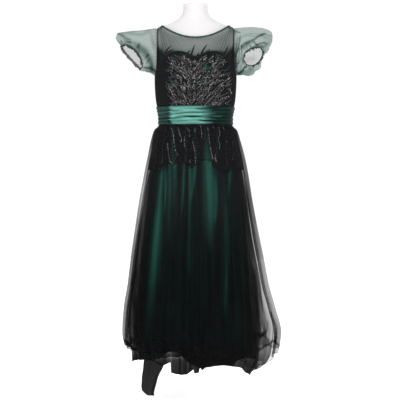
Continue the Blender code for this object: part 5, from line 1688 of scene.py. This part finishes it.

# %% [markdown]
# The peplum is a short net skirt under the outer tulle. Black fronds hang over it, and curved
# trails of beads cross it. The fronds are drawn in metres along the hip and down from the waist,
# and read off the peplum's grid. The trails are listed as the camera sees them, and a
# search for the nearest points of the grid gives their depth.

# %% Peplum
PEPLUM_SEEN_HEM = [
    (-196, 976), (-170, 972), (-153, 965), (-138, 998), (-123, 1008), (-105, 991), (-97, 985),
    (-80, 1002), (-54, 1002), (-32, 989), (-15, 980), (2, 993), (15, 1008), (41, 1013),
    (67, 1010), (75, 985), (92, 968), (110, 959), (144, 959), (157, 989), (174, 998), (196, 976), (217, 980),
]
BEAD_TRAILS = [
    [(-112, 1158), (-97, 1137), (-92, 1093), (-84, 1051), (-75, 1038)],
    [(-76, 1155), (-68, 1127), (-61, 1106), (-62, 1090)],
    [(-120, 1090), (-115, 1038), (-110, 1012), (-99, 997)],
    [(-39, 1153), (-26, 1137), (-25, 1116)],
    [(-13, 1109), (-11, 1090), (-3, 1051), (0, 1012), (-1, 997)],
    [(18, 1166), (26, 1143), (27, 1114), (31, 1106)],
    [(52, 1163), (56, 1127), (61, 1080), (68, 1044), (75, 1017)],
    [(99, 1155), (104, 1130), (98, 1103), (104, 1077), (99, 1059)],
    [(131, 1097), (135, 1089)],
    [(159, 1096), (160, 1071)],
    [(86, 1041), (83, 1028), (91, 1004)],
    [(-29, 1015), (-21, 1002)],
    [(-154, 976), (-147, 968)],
    [(41, 1045), (43, 1041)],
    [(159, 1023), (160, 1017)],
    [(-4, 1152), (-2, 1135)],
    [(75, 1161), (77, 1152)],
    [(118, 1161), (120, 1148)],
    [(-47, 1118), (-49, 1096), (-46, 1071)],
]
lace_finish = sheer_finish("peplum_net", (30, 31, 33), (13, 13, 14), 0.85, (160, 26, 1), 0.70, 1.40)


def peplum_folds(turn, height, share):
    """Small gathers from the waist that fade towards the hem."""
    start = smooth_step(SKIRT_BAND - height, 0.0, 0.03)
    return 0.0010 * gathers(turn, 46, 101, 0.1 * share) * start


PEPLUM_COLUMNS = 480
peplum_points, peplum_plain, peplum_share = skirt_layer(
    peplum_reach, PEPLUM_HEM, PEPLUM_SEEN_HEM, 12, 1.1, PEPLUM_COLUMNS, 48,
    lambda turn: 0.004 * ring_noise(turn, 103, 8, 60), peplum_folds)
peplum_turn = np.arange(PEPLUM_COLUMNS) / PEPLUM_COLUMNS
side_band = smooth_step(np.abs(np.cos(2 * np.pi * peplum_turn)), 0.66, 0.82)
peplum_cover = 0.66 + 0.27 * side_band + 0.10 * ring_noise(peplum_turn, 104, 7, 40)
peplum_cover = peplum_cover - 0.50 * np.clip(drawn(peplum_points, SATIN_SHINE[:6]), 0, 1)
peplum_cover = peplum_cover + 0.2 * smooth_step(peplum_share, 0.90, 1.0)
peplum_density = fold_density(peplum_points, peplum_plain, True, np.clip(peplum_cover, 0.25, 0.96))
peplum = make_surface("peplum_lace_net", peplum_points, lace_finish, wrap=True,
                      values={"cover": peplum_density, "shade": 0.3 + 0 * peplum_density})
dress(peplum, "lace", "peplum_front", "peplum_back")


def on_grid(points, row, column):
    """Places on a closed grid at fractional rows and columns: straight blends of four points."""
    rows, columns = points.shape[:2]
    row = np.clip(row, 0, rows - 1.001)
    low_row, low_column = np.floor(row).astype(int), np.floor(column).astype(int)
    down, along = (row - low_row)[..., None], (column - low_column)[..., None]
    left, right = low_column % columns, (low_column + 1) % columns
    upper = points[low_row, left] * (1 - along) + points[low_row, right] * along
    lower = points[low_row + 1, left] * (1 - along) + points[low_row + 1, right] * along
    return upper * (1 - down) + lower * down


def finder(points, out, flip):
    """A function that lays places of the front plane on the side of a grid that faces it.

    The flip turns the piece round first, for its hidden side. The four nearest points, weighted
    by 1 / distance, give the depth and the normal.
    """
    turned_points, turned_out = points * flip, out * flip
    near_side = turned_out[..., 1] < -0.05
    kept, kept_out = turned_points[near_side], turned_out[near_side]
    tree = kdtree.KDTree(len(kept))
    for number, (x, z) in enumerate(zip(*seen(kept))):
        tree.insert((x, z, 0), number)
    tree.balance()

    def lay(x, z, lift):
        depths, normals = [], []
        for place in zip(np.ravel(x), np.ravel(z)):
            found = tree.find_n((*place, 0), 4)
            numbers = [item[1] for item in found]
            weight = 1 / (np.array([item[2] for item in found]) + 0.2)
            weight /= weight.sum()
            depths.append(weight @ kept[numbers, 1])
            normals.append(weight @ kept_out[numbers])
        places = unseen(np.ravel(x), np.ravel(z), np.array(depths))
        normals = unit(np.array(normals))
        shape = np.shape(x) + (3,)
        return ((places + lift * normals) * flip).reshape(shape), (normals * flip).reshape(shape)
    return lay


PEPLUM_AROUND = 1.14
PEPLUM_FALL = 0.180
peplum_out = outward_normals(peplum_points, wrap=True)


def on_peplum(around, down, lift):
    """Flat metres along the hip and down from the waist, laid on the peplum."""
    row = np.clip(down / PEPLUM_FALL, 0, 1) * (peplum_points.shape[0] - 1)
    column = around / PEPLUM_AROUND * peplum_points.shape[1]
    place = on_grid(peplum_points, row, column)
    normal = unit(on_grid(peplum_out, row, column))
    return place + lift * normal, normal


def hanging_fronds(count, seed):
    """Fronds around the hip: evenly spaced with some shake, each leaning and ending on its own."""
    random = np.random.default_rng(seed)
    spines, barbs = [], []
    for number in range(count):
        start = (number + 0.5) * PEPLUM_AROUND / count + random.uniform(-0.006, 0.006)
        lean = random.uniform(-0.016, 0.016)
        end = random.uniform(0.140, 0.176)
        spine = [(start, 0.014), (start + 0.3 * lean, 0.06), (start + 1.1 * lean, 0.12), (start + lean, end)]
        spine_line, barb_lines = draw_frond(spine, 13, 0.014, seed + 7 * number, 0.75)
        spines.append(spine_line)
        barbs.append(barb_lines)
    return spines, barbs


peplum_spines, peplum_barbs = hanging_fronds(22, 401)
peplum_widths = [0.0032] * len(peplum_spines) + [0.0026] * len(peplum_barbs)
peplum_lace = lay_ribbons("peplum_fronds", peplum_spines + peplum_barbs, peplum_widths, on_peplum)


def resample(stroke, steps):
    """A row of places as a smooth curve of that many points."""
    line = np.array(stroke, dtype=float)
    knots = np.linspace(0, 1, len(line))
    t = np.linspace(0, 1, steps)
    if len(line) < 3:
        return np.stack([np.interp(t, knots, line[:, k]) for k in (0, 1)], axis=-1)[None]
    return np.stack([smooth_curve(t, knots, line[:, k]) for k in (0, 1)], axis=-1)[None]


trail_curves = [resample(trail, 24) for trail in BEAD_TRAILS]
peplum_beads = [
    scatter_beads("peplum_beads_" + label, trail_curves, finder(peplum_points, peplum_out, np.array(flip)),
                  0.0013, 2.8, 0.0021, seed, keep=0.80, spread=0.6, tones=(0.15, 0.45))
    for label, flip, seed in (("front", (1, 1, 1), 402), ("back", (-1, -1, 1), 403))
]
peplum_glints = scatter_beads("peplum_glints", peplum_barbs, on_peplum, 0.0013, 0.0120, 0.0012, 404,
                              keep=0.5, spread=0.0008)
for piece in (peplum_lace, peplum_glints, *peplum_beads):
    dress(piece, "lace")

# %% [markdown]
# A loose end of tulle hangs from the under layer's hem, at the front on the viewer's left. Its
# outline is given, its depth is that of the hem it hangs from, and soft folds run down it.

# %% Hem tail
TAIL_SIDES = table(
    "z left right",
    (0, -224, -177), (10, -232, -179), (30, -234, -176), (45, -233, -172), (70, -232, -166),
    (85, -230, -163), (105, -227, -156), (130, -225, -144), (155, -222, -136), (170, -221, -134),
)
TAIL_OVERLAP = 5.0
TAIL_COVER = 0.991


def add_tail():
    """The tail's rows run between its sides, from just above the hem down to its rounded end."""
    columns, rows = 64, 52
    across = np.linspace(0, 1, columns)
    drop = np.linspace(0, 1, rows)[:, None]
    hem_line = np.array(UNDER_SEEN_HEM, dtype=float)
    top_x = TAIL_SIDES["left"][-2] + across * (TAIL_SIDES["right"][-2] - TAIL_SIDES["left"][-2])
    top_z = np.interp(top_x, hem_line[:, 0], hem_line[:, 1]) + TAIL_OVERLAP
    end_z = 15 * (1 - across) ** 3 + 3 * across ** 6 - 2.5 + 1.0 * np.cos(9 * across)
    z = top_z * (1 - drop) + end_z * drop
    level = 155 * (1 - drop)
    left, right = read(TAIL_SIDES, "left", level), read(TAIL_SIDES, "right", level)
    x = left + across * (right - left)
    hem_row = under_layer[0][-1]
    hem_row = hem_row[hem_row[:, 1] < 0]
    hem_row = hem_row[np.argsort(hem_row[:, 0])]
    depth = np.interp(top_x / 1000, hem_row[:, 0], hem_row[:, 1])
    fold = (0.005 * np.sin(2.4 * np.pi * across) * drop
            + 0.0025 * np.cos(6 * np.pi * across + 2 * drop) * drop ** 0.5)
    points = unseen(x, z, depth - 0.012 * drop + fold - 0.0006)
    plain = points - fold[..., None] * (0, 1, 0)
    density = fold_density(points, plain, False, TAIL_COVER + 0 * fold)
    # The shade value makes the tail darker towards its top, a painted shade under the hem.
    return make_surface("hem_tail_tulle", points, tulle_finish, outward=np.array([0, -1, 0]),
                        values={"cover": density, "shade": 0.80 - 0.70 * drop + 0 * density})


tail = add_tail()
dress(tail, "tulle", "hem_tail")

# %% [markdown]
# The dress closes with a zip down the centre of the back. Two rows of moulded teeth mesh on a
# strip of tape, and stop below the slider. The slider and its pull tab are small metal plates
# whose solids are right as they are, so they only get a better finish.

# %% Zip
tape_finish, _ = grained_finish(
    "zip_tape", (16, 18, 18), (0.7, 0.2), ("Object", 1.0, (900, 900, 500)),
    [(0.4, (10, 12, 12)), (0.6, (26, 28, 28))], (0.4, 0.0003))

zip_line = bodice_grid(1, np.array([8.99, 9.01]), np.linspace(0, 1, 120)).mean(axis=1) * (0, 1, 1)
tape_across = np.linspace(-0.0024, 0.0024, 9)
tape_points = zip_line[:, None, :] + np.stack([tape_across, 0 * tape_across, 0 * tape_across], axis=-1)
zip_tape = make_surface("zip_tape_strip", tape_points, tape_finish, outward=np.array([0, 1, 0]))
add_thickness(zip_tape, 0.0010)
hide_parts("back_zip")

TOOTH_STEP = 0.0024
teeth_finish, _ = grained_finish(
    "zip_teeth", (52, 54, 56), (0.35, 0.5, 0.8), ("Object", 500.0, (1, 1, 1)), None, (0.2, 0.0002))
walked = np.concatenate([[0], np.cumsum(np.linalg.norm(np.diff(zip_line, axis=0), axis=1))])
tooth_at = np.arange(0.060, walked[-1] - 0.020, TOOTH_STEP)
tooth_middle = along_line(tooth_at, walked, zip_line)
tooth_side = np.where(np.arange(len(tooth_at)) % 2 == 0, 1, -1)
corner = np.array([(sx, sy, sz) for sx in (-1, 1) for sy in (-1, 1) for sz in (-1, 1)])
tooth_corners = (tooth_middle[:, None, :] + tooth_side[:, None, None] * (0.0006, 0, 0)
                 + corner * (0.0011, 0.0007, 0.0008) + (0, 0.0004, 0))
box_faces = np.array([(0, 1, 3, 2), (4, 6, 7, 5), (0, 4, 5, 1), (2, 3, 7, 6), (0, 2, 6, 4), (1, 5, 7, 3)])
tooth_faces = (np.arange(len(tooth_at))[:, None, None] * 8 + box_faces).reshape(-1, 4)
zip_teeth = finish_mesh("zip_teeth_rows", tooth_corners, tooth_faces, teeth_finish, smooth=False)
for piece, slot in ((zip_tape, "zip_tape"), (zip_teeth, "zip_metal")):
    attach(piece, "dress_and_form")
for node in ("zip_slider", "zip_pull"):
    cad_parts[node].data.materials.clear()
    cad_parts[node].data.materials.append(teeth_finish)
